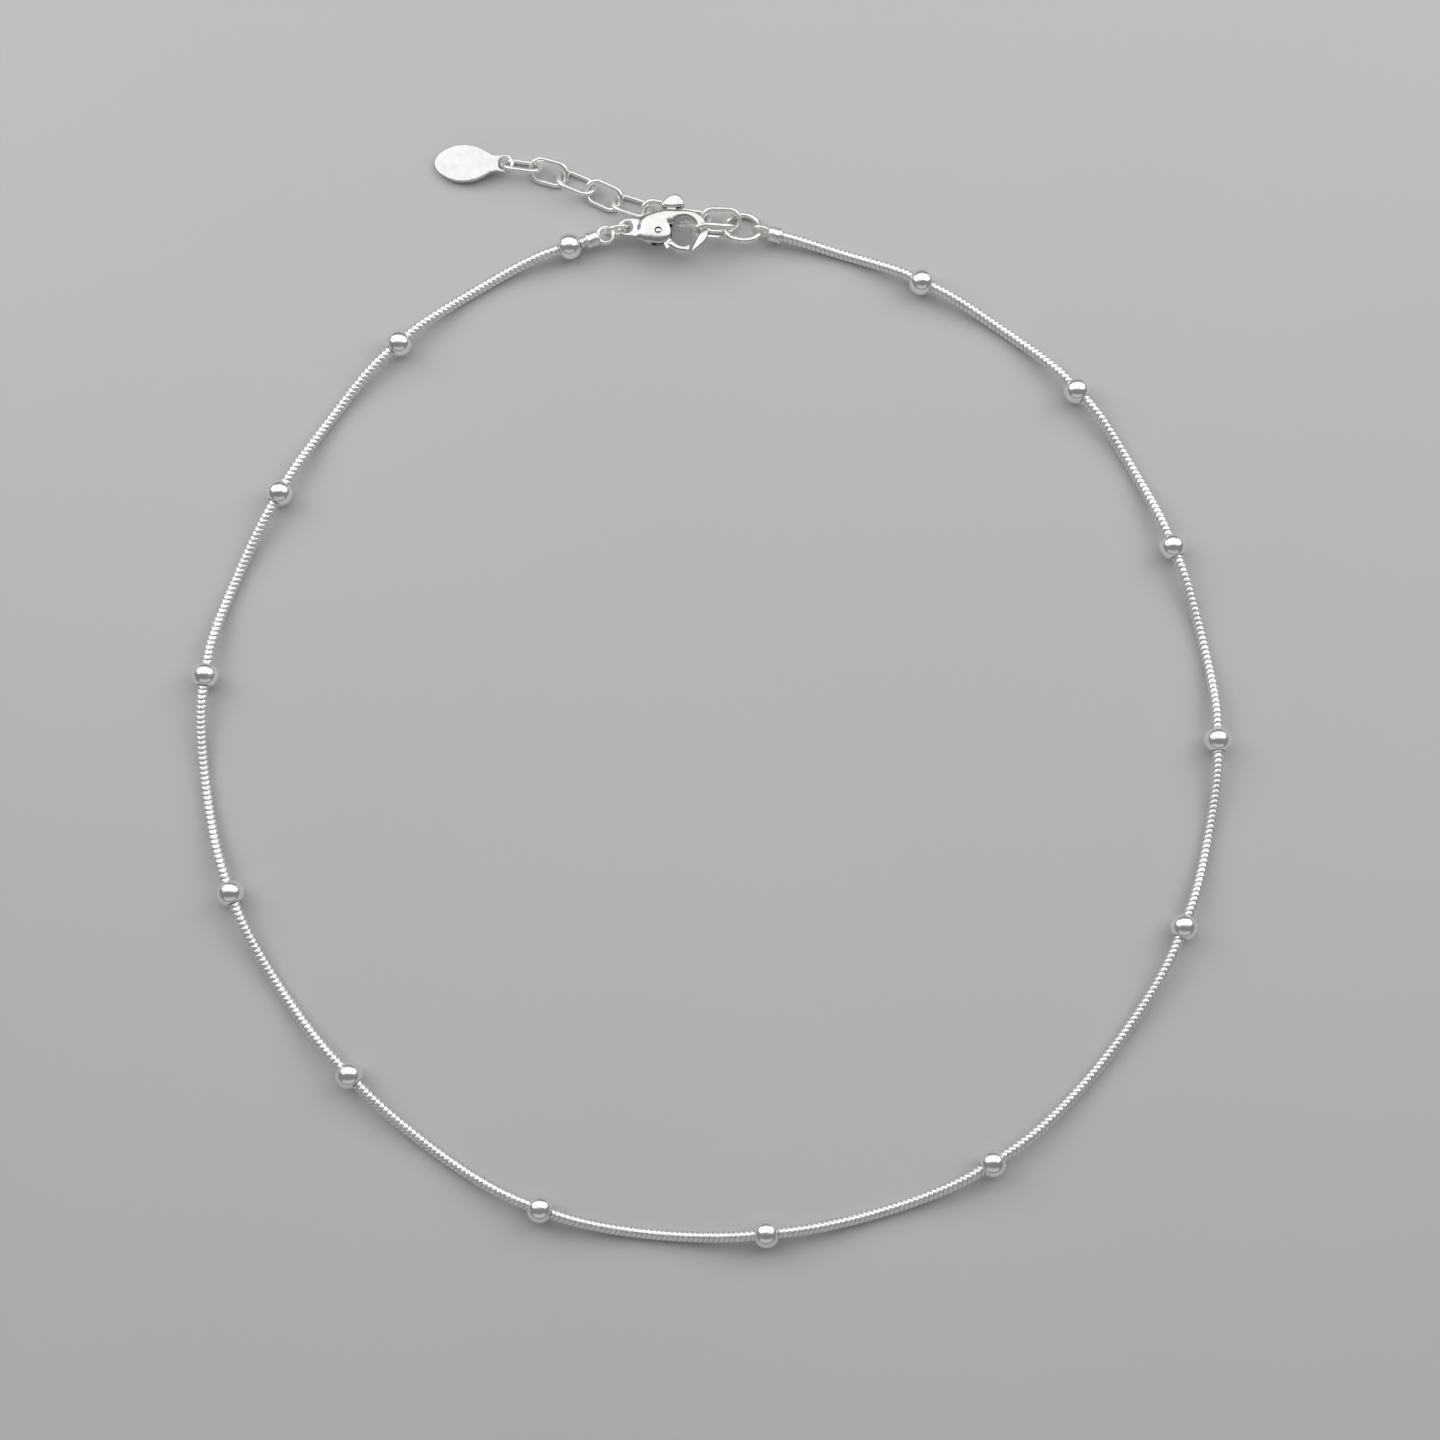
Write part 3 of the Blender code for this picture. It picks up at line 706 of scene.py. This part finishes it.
def make_chain():
    """The woven chain: wavy domed bands that nest in each other, one row of plates after the
    other, cut into one piece between each two beads where a bead hides the cut."""
    route, beads = chain_route()
    distances, smooth, side, over, route_distances = route_frames(route)
    total = distances[-1]
    cuts = [0.0, *(float(route_distances[number]) for number in beads), total]
    across = np.arange(WEAVE_SIDES) * 2 * pi / WEAVE_SIDES
    wave = WEAVE_WAVE * np.cos(WEAVE_LOBES * across)
    for number, (start, end) in enumerate(zip(cuts, cuts[1:]), start=1):
        bands = max(1, round((end - start) / WEAVE_PITCH))
        rows = bands * WEAVE_ROWS + 1
        along = np.linspace(start, end, rows)
        phase = (np.arange(rows) % WEAVE_ROWS) / WEAVE_ROWS * 2.0 - 1.0
        groove = np.abs(phase) ** WEAVE_SHARPNESS
        radius = CHAIN_RADIUS - WEAVE_GROOVE * groove
        where = np.clip(along[:, None] + wave[None, :], 0.0, total)
        middle = at(distances, smooth, where)
        sideways = at(distances, side, where)
        upwards = at(distances, over, where)
        vertices = middle + radius[:, None, None] * (
            np.cos(across)[None, :, None] * upwards + np.sin(across)[None, :, None] * sideways
        )
        faces = grid_faces(rows, WEAVE_SIDES)
        faces.append(tuple(range(WEAVE_SIDES)))
        faces.append(tuple(reversed(range((rows - 1) * WEAVE_SIDES, rows * WEAVE_SIDES))))
        piece = mesh_object(f"chain_span_{number:02d}", vertices.reshape(-1, 3) * MM, faces)
        # The groove attribute says where the grooves lie, for the painted shade in the material
        attribute = piece.data.attributes.new("groove", "FLOAT", "POINT")
        attribute.data.foreach_set("value", np.repeat(groove, WEAVE_SIDES).astype(np.float32))
        register(piece, "chain", CHOKER, "snake_chain")


# Beads, caps, rings and links


def bead_profile():
    """Half a section of a drilled ball with a rounded lip at each end of its bore."""
    lip_centre = BEAD_BORE_RADIUS + BEAD_LIP
    reach = BEAD_RADIUS - BEAD_LIP
    rim = acos(lip_centre / reach)
    height = reach * sin(rim)
    profile = arc((0.0, 0.0), BEAD_RADIUS, -degrees(rim), degrees(rim), BEAD_STEPS)
    profile += arc((lip_centre, height), BEAD_LIP, degrees(rim), 180.0, LIP_STEPS)[1:]
    profile += arc((lip_centre, -height), BEAD_LIP, 180.0, 360.0 - degrees(rim), LIP_STEPS)[:-1]
    return profile


def make_beads():
    vertices, faces = lathe(bead_profile(), BEAD_SEGMENTS)
    for number, (place, direction) in enumerate(zip(BEADS, bead_directions()), start=1):
        heading = atan2(direction[1], direction[0])
        matrix = (
            Matrix.Translation(point(*place, BEAD_RADIUS))
            @ Matrix.Rotation(heading, 4, "Z")
            @ Matrix.Rotation(pi / 2, 4, "Y")
        )
        name = f"bead_{number:02d}"
        bead = mesh_object(f"polished_{name}", vertices, faces, matrix)
        register(bead, "bead", CHOKER, name)


def cap_profile():
    """Half a section of the cup: a rolled lip, a straight wall and a domed end."""
    wall = CAP_RADIUS - CAP_RIM[-1][0]
    shoulder = CAP_LENGTH - CAP_DOME
    profile = [(CAP_BORE_RADIUS, CAP_DEPTH), (CAP_BORE_RADIUS, CAP_BORE_EDGE)]
    profile += arc((CAP_BORE_RADIUS + CAP_LIP, CAP_LIP), CAP_LIP, 180.0, 360.0, CAP_ARC_STEPS)
    profile += [(CAP_RADIUS - inset, height) for inset, height in CAP_RIM]
    profile.append((wall, shoulder))
    profile += arc((wall - CAP_DOME, shoulder), CAP_DOME, 0.0, 90.0, CAP_ARC_STEPS)[1:]
    profile += [(CAP_END_RADIUS, CAP_LENGTH), (AXIS, CAP_LENGTH), (AXIS, CAP_DEPTH)]
    return profile


def make_cap(node, mouth, height, heading, loop_turn):
    """An end cup with its loop, in one mesh."""
    matrix = (
        Matrix.Translation(point(*mouth, height))
        @ Matrix.Rotation(radians(heading), 4, "Z")
        @ Matrix.Rotation(pi / 2, 4, "Y")
    )
    cup_vertices, cup_faces = lathe(cap_profile(), CAP_SEGMENTS)
    loop_vertices, loop_faces = ring_mesh(LOOP_RADIUS, LOOP_WIRE, RING_SEGMENTS, WIRE_SIDES)
    loop_matrix = (
        Matrix.Translation(point(0.0, 0.0, CAP_LENGTH + LOOP_SEAT))
        @ Matrix.Rotation(radians(loop_turn), 4, "Z")
        @ Matrix.Rotation(pi / 2, 4, "X")
    )
    vertices = list(cup_vertices) + [loop_matrix @ vertex for vertex in loop_vertices]
    shift = len(cup_vertices)
    faces = list(cup_faces) + [tuple(index + shift for index in face) for face in loop_faces]
    cap = mesh_object(f"polished_{node}", vertices, faces, matrix)
    cap.data.set_sharp_from_angle(angle=radians(WIRE_SHARP_ANGLE))
    register(cap, "link", CHOKER, node)


def make_caps():
    left_mouth, right_mouth = cap_mouths()
    make_cap(
        "chain_end_left", left_mouth, LEFT_CAP_HEIGHT, LEFT_CAP_HEADING, 90.0 - LEFT_LOOP_TURN,
    )
    make_cap(
        "chain_end_right", right_mouth, RIGHT_CAP_HEIGHT, RIGHT_CAP_HEADING + 180.0,
        90.0 - RIGHT_LOOP_TURN,
    )


def make_rings():
    for node, x, y, z, heading, turn, radius, wire in RINGS:
        cut = Matrix.Rotation(radians(RING_CUT_ANGLE), 4, "Z")
        matrix = turned_frame((x, y, z), heading, turn) @ cut
        vertices, faces = ring_mesh(radius, wire, RING_SEGMENTS, WIRE_SIDES, gap=RING_CUT / radius)
        ring = mesh_object(f"polished_{node}", vertices, faces, matrix)
        ring.data.set_sharp_from_angle(angle=radians(WIRE_SHARP_ANGLE))
        register(ring, "link", CHOKER, node)


def make_link(node, length, matrix):
    vertices, faces = oval_mesh(length, LINK_WIDTH, LINK_WIRE, LINK_END_SEGMENTS, WIRE_SIDES)
    link = mesh_object(f"polished_{node}", vertices, faces, matrix)
    register(link, "link", CHOKER, node)


def smooth_route(corners, step):
    """A smooth curve through corners, as closely spaced points."""
    ends = [
        tuple(2 * a - b for a, b in zip(corners[0], corners[1])),
        *corners,
        tuple(2 * a - b for a, b in zip(corners[-1], corners[-2])),
    ]
    points = []
    for before, start, end, after in zip(ends, ends[1:], ends[2:], ends[3:]):
        pieces = max(1, round(hypot(end[0] - start[0], end[1] - start[1]) / step))
        for number in range(pieces):
            t = number / pieces
            x = hermite(start[0], (end[0] - before[0]) / 2, end[0], (after[0] - start[0]) / 2, t)
            y = hermite(start[1], (end[1] - before[1]) / 2, end[1], (after[1] - start[1]) / 2, t)
            points.append((x, y))
    points.append(tuple(corners[-1]))
    return points


def place_on_route(points, distance):
    """The point at a distance along a route, and the route's heading there in degrees."""
    travelled = 0.0
    for start, end in zip(points, points[1:]):
        piece = hypot(end[0] - start[0], end[1] - start[1])
        if travelled + piece >= distance:
            t = (distance - travelled) / piece
            x = start[0] + (end[0] - start[0]) * t
            y = start[1] + (end[1] - start[1]) * t
            return (x, y), degrees(atan2(end[1] - start[1], end[0] - start[0]))
        travelled += piece
    raise ValueError("the route is too short")


def resting_height(turn):
    """How high the middle of an oval link lies when it is turned and touches the surface."""
    return (LINK_WIDTH / 2 - LINK_WIRE) * sin(radians(abs(turn))) + LINK_WIRE + LINK_FLOOR_GAP


def extender_places():
    """A row for each link of the extender: its distance along the route and its turn."""
    first = LINK_LENGTH / 2 - LINK_WIRE
    places = []
    for number in range(LINK_COUNT - 1):
        turn = -LINK_TURN if number % 2 == 0 else LINK_TURN
        places.append((first + LINK_PITCH * number, turn))
    places.append((places[-1][0] + LAST_LINK_PITCH, LAST_LINK_TURN))
    return places


def make_extender():
    """The oval links, and the place where the tag hangs from the last one."""
    route = smooth_route(EXTENDER_ROUTE, ROUTE_STEP)
    places = extender_places()
    for number, (distance, turn) in enumerate(places, start=1):
        (x, y), heading = place_on_route(route, distance)
        matrix = turned_frame((x, y, resting_height(turn)), heading, turn)
        make_link(f"extender_link_{number:02d}", LINK_LENGTH, matrix)
    return place_on_route(route, places[-1][0] + TAG_HOLE_OFFSET)[0]


def make_hook_link():
    start, end = (Vector(place) for place in HOOK_LINK_ENDS)
    length = (end - start).length + 2 * LINK_WIRE
    make_link("hook_link", length, frame_between(start, end, HOOK_LINK_TURN))


# Plates with rounded edges: the tag and the clasp


def extruded_outline(name, outline, thickness):
    """A flat plate from a closed outline in millimetres, centred on its own plane."""
    curve = bpy.data.curves.new(name, "CURVE")
    curve.dimensions = "2D"
    curve.fill_mode = "BOTH"
    curve.extrude = thickness * MM / 2.0
    spline = curve.splines.new("POLY")
    spline.points.add(len(outline) - 1)
    spline.use_cyclic_u = True
    for target, (x, y) in zip(spline.points, outline):
        target.co = (x * MM, y * MM, 0.0, 1.0)
    holder = bpy.data.objects.new(name, curve)
    bpy.context.scene.collection.objects.link(holder)
    bpy.context.view_layer.update()
    depsgraph = bpy.context.evaluated_depsgraph_get()
    mesh = bpy.data.meshes.new_from_object(holder.evaluated_get(depsgraph))
    bpy.data.objects.remove(holder, do_unlink=True)
    weld(mesh, WELD_DISTANCE)
    obj = bpy.data.objects.new(name, mesh)
    bpy.context.scene.collection.objects.link(obj)
    return obj


def even_outline(corners, rounding, hole=False):
    """A closed outline with evenly spaced points and worn corners. It runs anticlockwise, or
    clockwise round a hole."""
    points = np.array(corners, dtype=float)
    after = np.roll(points, -1, axis=0)
    area = (points[:, 0] * after[:, 1] - points[:, 1] * after[:, 0]).sum()
    if (area > 0) == hole:
        points = points[::-1]
        after = np.roll(points, -1, axis=0)
    places = np.concatenate(([0.0], np.cumsum(np.linalg.norm(after - points, axis=1))))
    closed = np.concatenate((points, points[:1]))
    count = max(FEWEST_POINTS, round(places[-1] / OUTLINE_STEP))
    where = np.arange(count) * places[-1] / count
    even = np.stack([np.interp(where, places, closed[:, axis]) for axis in range(2)], axis=1)
    for _ in range(rounding):
        even = 0.25 * np.roll(even, 1, axis=0) + 0.5 * even + 0.25 * np.roll(even, -1, axis=0)
    return even


def edge_distances(points, outlines):
    """How far each point lies from the nearest outline."""
    nearest = np.full(len(points), np.inf)
    for outline in outlines:
        starts = outline
        runs = np.roll(outline, -1, axis=0) - starts
        away = points[:, None, :] - starts[None, :, :]
        share = (away * runs).sum(-1) / (runs ** 2).sum(-1)
        share = np.clip(share, 0.0, 1.0)
        gaps = np.linalg.norm(away - share[..., None] * runs[None, :, :], axis=-1)
        nearest = np.minimum(nearest, gaps.min(axis=1))
    return nearest


def inside(points, outlines):
    """Whether each point lies on the plate: within the outer outline and outside its holes."""
    crossings = np.zeros(len(points), dtype=int)
    for outline in outlines:
        first, second = outline, np.roll(outline, -1, axis=0)
        x, y = points[:, 0, None], points[:, 1, None]
        spans = (first[:, 1] > y) != (second[:, 1] > y)
        rise = np.where(second[:, 1] == first[:, 1], 1.0, second[:, 1] - first[:, 1])
        meets = first[:, 0] + (y - first[:, 1]) * (second[:, 0] - first[:, 0]) / rise
        crossings += (spans & (x < meets)).sum(axis=1)
    return crossings % 2 == 1


def face_points(outlines, width):
    """Points inside a plate: rings along its edge, close together at the edge, and a grid."""
    candidates = []
    for outline in outlines:
        run = np.roll(outline, -1, axis=0) - np.roll(outline, 1, axis=0)
        run /= np.linalg.norm(run, axis=1)[:, None]
        inward = np.stack((-run[:, 1], run[:, 0]), axis=1)
        for ring in range(1, SWELL_RINGS + 1):
            depth = width * (ring / SWELL_RINGS) ** 2
            places = outline + inward * depth
            gaps = edge_distances(places, outlines)
            candidates.append(places[(gaps > RING_SHARE * depth) & inside(places, outlines)])
    low = outlines[0].min(axis=0)
    high = outlines[0].max(axis=0)
    step = 2 * OUTLINE_STEP
    columns = np.arange(low[0], high[0], step)
    lines = np.arange(low[1], high[1], step)
    grid = np.stack(np.meshgrid(columns, lines), axis=-1).reshape(-1, 2)
    grid = grid[inside(grid, outlines)]
    candidates.append(grid[edge_distances(grid, outlines) > GRID_MARGIN])
    candidates = np.concatenate(candidates)
    kept = []
    taken = {}
    for place, gap in zip(candidates, edge_distances(candidates, outlines)):
        room = min(MOST_ROOM, max(LEAST_ROOM, EDGE_ROOM_SHARE * gap))
        cell = (int(place[0] // OUTLINE_STEP), int(place[1] // OUTLINE_STEP))
        near = [
            other for i in (-1, 0, 1) for j in (-1, 0, 1)
            for other in taken.get((cell[0] + i, cell[1] + j), ())
        ]
        if all(hypot(place[0] - x, place[1] - y) > room for x, y in near):
            kept.append((float(place[0]), float(place[1])))
            taken.setdefault(cell, []).append(kept[-1])
    return kept


def swollen_plate(name, outlines, thickness, rim, width, factor=None):
    """A plate whose faces swell from a thinner rim to the full thickness at a distance from
    its edge."""
    edge_points = [tuple(map(float, place)) for outline in outlines for place in outline]
    edges = []
    first = 0
    for outline in outlines:
        count = len(outline)
        edges += [(first + number, first + (number + 1) % count) for number in range(count)]
        first += count
    places = [Vector(place) for place in edge_points + face_points(outlines, width)]
    flat, _, triangles, origins, _, _ = delaunay_2d_cdt(places, edges, [], 0, MESH_TOLERANCE)
    flat = np.array([tuple(place) for place in flat])
    triangles = np.array(triangles)
    triangles = triangles[inside(flat[triangles].mean(axis=1), outlines)]
    number_of = {origin: number for number, group in enumerate(origins) for origin in group}
    depth = np.clip(edge_distances(flat, outlines) / width, 0.0, 1.0)
    height = thickness / 2 * (rim + (1.0 - rim) * np.sqrt(1.0 - (1.0 - depth) ** 2))
    if factor is not None:
        height *= np.array([factor(x) for x in flat[:, 0]])
    count = len(flat)
    vertices = [point(x, y, z) for (x, y), z in zip(flat, height)]
    vertices += [point(x, y, -z) for (x, y), z in zip(flat, height)]
    faces = [tuple(int(index) for index in face) for face in triangles]
    faces += [tuple(int(index) + count for index in face[::-1]) for face in triangles]
    for start, end in edges:
        start, end = number_of[start], number_of[end]
        faces.append((end, start, start + count, end + count))
    obj = mesh_object(name, vertices, faces)
    weld(obj.data, WELD_DISTANCE)
    return obj


def weld(mesh, distance):
    bm = bmesh.new()
    bm.from_mesh(mesh)
    bmesh.ops.remove_doubles(bm, verts=bm.verts, dist=distance)
    bmesh.ops.dissolve_degenerate(bm, edges=bm.edges, dist=distance)
    bm.to_mesh(mesh)
    bm.free()


def apply_modifiers(obj):
    """Bake the modifiers so far into the object's own mesh and weld it."""
    bpy.context.view_layer.update()
    depsgraph = bpy.context.evaluated_depsgraph_get()
    mesh = bpy.data.meshes.new_from_object(obj.evaluated_get(depsgraph))
    obj.modifiers.clear()
    obj.data = mesh
    weld(mesh, CUT_WELD_DISTANCE)


def join_with(obj, tool, operation):
    modifier = obj.modifiers.new(operation.lower(), "BOOLEAN")
    modifier.operation = operation
    modifier.solver = "EXACT"
    modifier.object = tool
    apply_modifiers(obj)
    bpy.data.objects.remove(tool, do_unlink=True)


def cylinder(name, radius, depth, centre):
    bm = bmesh.new()
    bmesh.ops.create_cone(
        bm, cap_ends=True, segments=HOLE_STEPS, radius1=radius * MM, radius2=radius * MM,
        depth=depth * MM, matrix=Matrix.Translation(point(*centre)),
    )
    mesh = bpy.data.meshes.new(name)
    bm.to_mesh(mesh)
    bm.free()
    obj = bpy.data.objects.new(name, mesh)
    bpy.context.scene.collection.objects.link(obj)
    return obj


def cut_hole(obj, centre, radius):
    tool = cylinder(f"{obj.name}_hole", radius, 3 * BODY_THICKNESS, (*centre, 0.0))
    join_with(obj, tool, "DIFFERENCE")


def settle(obj, matrix):
    """Put a plate in its place, in its mesh, with smooth faces between its sharp edges."""
    obj.data.transform(matrix)
    obj.data.shade_smooth()
    obj.data.set_sharp_from_angle(angle=radians(PLATE_SHARP_ANGLE))
    shading = obj.modifiers.new("even_shading", "WEIGHTED_NORMAL")
    shading.keep_sharp = True
    shading.weight = NORMAL_WEIGHT


def round_hole(centre, radius):
    return even_outline(arc(centre, radius, 0.0, 360.0, HOLE_STEPS)[:-1], 0, hole=True)


def tag_outlines():
    """An oval plate with a neck round its hole. The hole is at the origin and the plate lies
    along +x."""
    side = smooth_route(TAG_SIDE, TAG_OUTLINE_STEP)
    outline = [(x, -y) for x, y in side] + side[-2:0:-1]
    return [even_outline(outline, TAG_ROUNDING), round_hole((0.0, 0.0), TAG_HOLE_RADIUS)]


def make_tag(hole_place):
    tag = swollen_plate("polished_tag", tag_outlines(), TAG_THICKNESS, TAG_RIM, TAG_SWELL)
    reach = TAG_SIDE[-1][0]
    fall = degrees(atan2(TAG_HOLE_HEIGHT - TAG_THICKNESS / 2 - TAG_FLOOR_GAP, reach))
    settle(tag, turned_frame((*hole_place, TAG_HOLE_HEIGHT), TAG_HEADING, TAG_TURN, drop=-fall))
    register(tag, "tag", CHOKER, "extender_tag")


def tip_angle(ring_radius, reach):
    """The angle on a ring round the clasp's hole at a distance from the pivot, below it."""
    low, high = TIP_ANGLES
    for _ in range(TIP_HALVINGS):
        middle = (low + high) / 2
        x = ring_radius * cos(radians(middle)) - PIVOT[0]
        y = ring_radius * sin(radians(middle)) - PIVOT[1]
        if hypot(x, y) < reach:
            low = middle
        else:
            high = middle
    return (low + high) / 2


def clasp_outline():
    """The fixed claw: eye, belly, the cheeks' round edge, the claw's inside, its tip, its
    outside and the back."""
    inner_tip = tip_angle(HOLE_RADIUS, TIP_CUT_RADIUS)
    outer_tip = tip_angle(CLAW_RADIUS, TIP_CUT_RADIUS)
    outline = arc(EYE_CENTRE, EYE_OUTER_RADIUS, *EYE_ANGLES, CLASP_STEPS)
    outline += BELLY_POINTS
    outline += arc(PIVOT, CHEEK_RADIUS, *CHEEK_ANGLES, CLASP_STEPS)
    outline += arc((0.0, 0.0), HOLE_RADIUS, CLAW_INSIDE_START, inner_tip, CLAW_STEPS)
    outline += arc((0.0, 0.0), CLAW_RADIUS, outer_tip, CLAW_OUTSIDE_END, CLAW_STEPS)
    outline += BACK_POINTS
    return outline


def thickness_factor(x):
    """How thick the clasp is at a place along it: full round the pivot, thin at both ends."""
    factor = 1.0
    for start, end, share in (CLAW_TAPER, TAIL_TAPER):
        t = min(1.0, max(0.0, (x - start) / (end - start)))
        factor += (share - 1.0) * t * t * (3 - 2 * t)
    return factor


def sector_outline(sectors):
    """A closed outline round the pivot from rows of start angle, end angle and radius."""
    outline = []
    for start, end, radius in sectors:
        outline += arc(PIVOT, radius, start, end, SECTOR_STEPS)
    return outline


def clasp_frame():
    return turned_frame(CLASP_CENTRE, CLASP_HEADING, 0.0, drop=CLASP_TAIL_DROP)


def make_clasp_body():
    outline = even_outline(clasp_outline(), CLAW_ROUNDING)
    outlines = [outline, round_hole(EYE_CENTRE, EYE_HOLE_RADIUS)]
    body = swollen_plate(
        "polished_clasp_body", outlines, BODY_THICKNESS, BODY_RIM, BODY_SWELL, thickness_factor,
    )
    slot = extruded_outline("clasp_slot", sector_outline(SLOT_SECTORS), SLOT_HEIGHT)
    join_with(body, slot, "DIFFERENCE")
    cut_hole(body, PIVOT, PIN_HOLE_RADIUS)
    settle(body, clasp_frame())
    register(body, "clasp", CHOKER, "clasp_body")


def gate_outline():
    start, end = GATE_ANGLES
    inner = HOLE_RADIUS + GATE_INSET
    inner_tip = min(end, tip_angle(inner, GATE_REACH))
    outline = arc((0.0, 0.0), inner, inner_tip, start, CLASP_STEPS)
    outline += arc((0.0, 0.0), CLAW_RADIUS, start, tip_angle(CLAW_RADIUS, GATE_REACH), CLASP_STEPS)
    return outline


def tab_outline():
    outline = []
    for angle, radius in TAB_CORNERS:
        x = PIVOT[0] + radius * cos(radians(angle))
        y = PIVOT[1] + radius * sin(radians(angle))
        outline.append((x, y))
    return outline


def make_clasp_lever():
    hub = sector_outline(HUB_SECTORS)
    lever = extruded_outline("polished_clasp_lever", hub, LEVER_THICKNESS)
    pieces = (
        ("lever_gate", gate_outline(), GATE_ROUNDING, GATE_SWELL),
        ("lever_tab", tab_outline(), TAB_ROUNDING, TAB_SWELL),
    )
    for name, outline, rounding, swell in pieces:
        outlines = [even_outline(outline, rounding)]
        piece = swollen_plate(name, outlines, GATE_THICKNESS, GATE_RIM, swell)
        join_with(lever, piece, "UNION")
    cut_hole(lever, PIVOT, PIN_HOLE_RADIUS)
    settle(lever, clasp_frame())
    register(lever, "clasp", LEVER, "clasp_lever")


def make_clasp_pin():
    half = PIN_LENGTH / 2
    profile = [(radius, depth - half) for radius, depth in PIN_END]
    profile += [(radius, half - depth) for radius, depth in reversed(PIN_END)]
    vertices, faces = lathe(profile, PIN_SEGMENTS, closed=False)
    matrix = clasp_frame() @ Matrix.Translation(point(*PIVOT))
    pin = mesh_object("polished_clasp_pin", vertices, faces, matrix)
    register(pin, "clasp", CHOKER, "clasp_pin")


# Stage


def make_floor():
    bpy.ops.mesh.primitive_grid_add(
        x_subdivisions=FLOOR_GRID, y_subdivisions=FLOOR_GRID, size=FLOOR_SIZE,
        location=(0.0, 0.0, 0.0),
    )
    floor = bpy.context.object
    floor.name = "floor"
    floor.data.materials.append(floor_material())


def area_light(name, place, size, brightness):
    """A soft panel that faces the origin and that the camera doesn't see."""
    data = bpy.data.lights.new(name, "AREA")
    data.shape = "RECTANGLE"
    data.size, data.size_y = size
    data.energy = brightness * pi * size[0] * size[1]
    light = bpy.data.objects.new(name, data)
    bpy.context.scene.collection.objects.link(light)
    light.location = place
    light.rotation_euler = (Vector() - Vector(place)).to_track_quat("-Z", "Y").to_euler()
    light.visible_camera = False


def make_lights():
    for name, place, size, brightness in LIGHTS:
        area_light(name, place, size, brightness)
    world = bpy.data.worlds.new("studio")
    world.use_nodes = True
    background = world.node_tree.nodes["Background"]
    background.inputs["Color"].default_value = (*ROOM_COLOUR, 1.0)
    background.inputs["Strength"].default_value = ROOM_BRIGHTNESS
    bpy.context.scene.world = world
    bpy.context.scene.view_settings.view_transform = "Standard"


def make_camera():
    elevation = radians(CAMERA_ELEVATION)
    target = point(*CAMERA_TARGET)
    data = bpy.data.cameras.new("camera")
    data.sensor_width = SENSOR_WIDTH
    data.lens = SENSOR_WIDTH * CAMERA_FOCAL_PIXELS / PHOTO_WIDTH
    data.clip_start = CAMERA_NEAR * MM
    camera = bpy.data.objects.new("camera", data)
    bpy.context.scene.collection.objects.link(camera)
    camera.location = target + point(
        0.0, -CAMERA_DISTANCE * cos(elevation), CAMERA_DISTANCE * sin(elevation),
    )
    camera.rotation_euler = (target - camera.location).to_track_quat("-Z", "Y").to_euler()
    bpy.context.scene.camera = camera


make_camera()
make_chain()
make_beads()
make_caps()
make_rings()
make_clasp_body()
make_clasp_lever()
make_clasp_pin()
make_hook_link()
make_tag(make_extender())
make_floor()
make_lights()
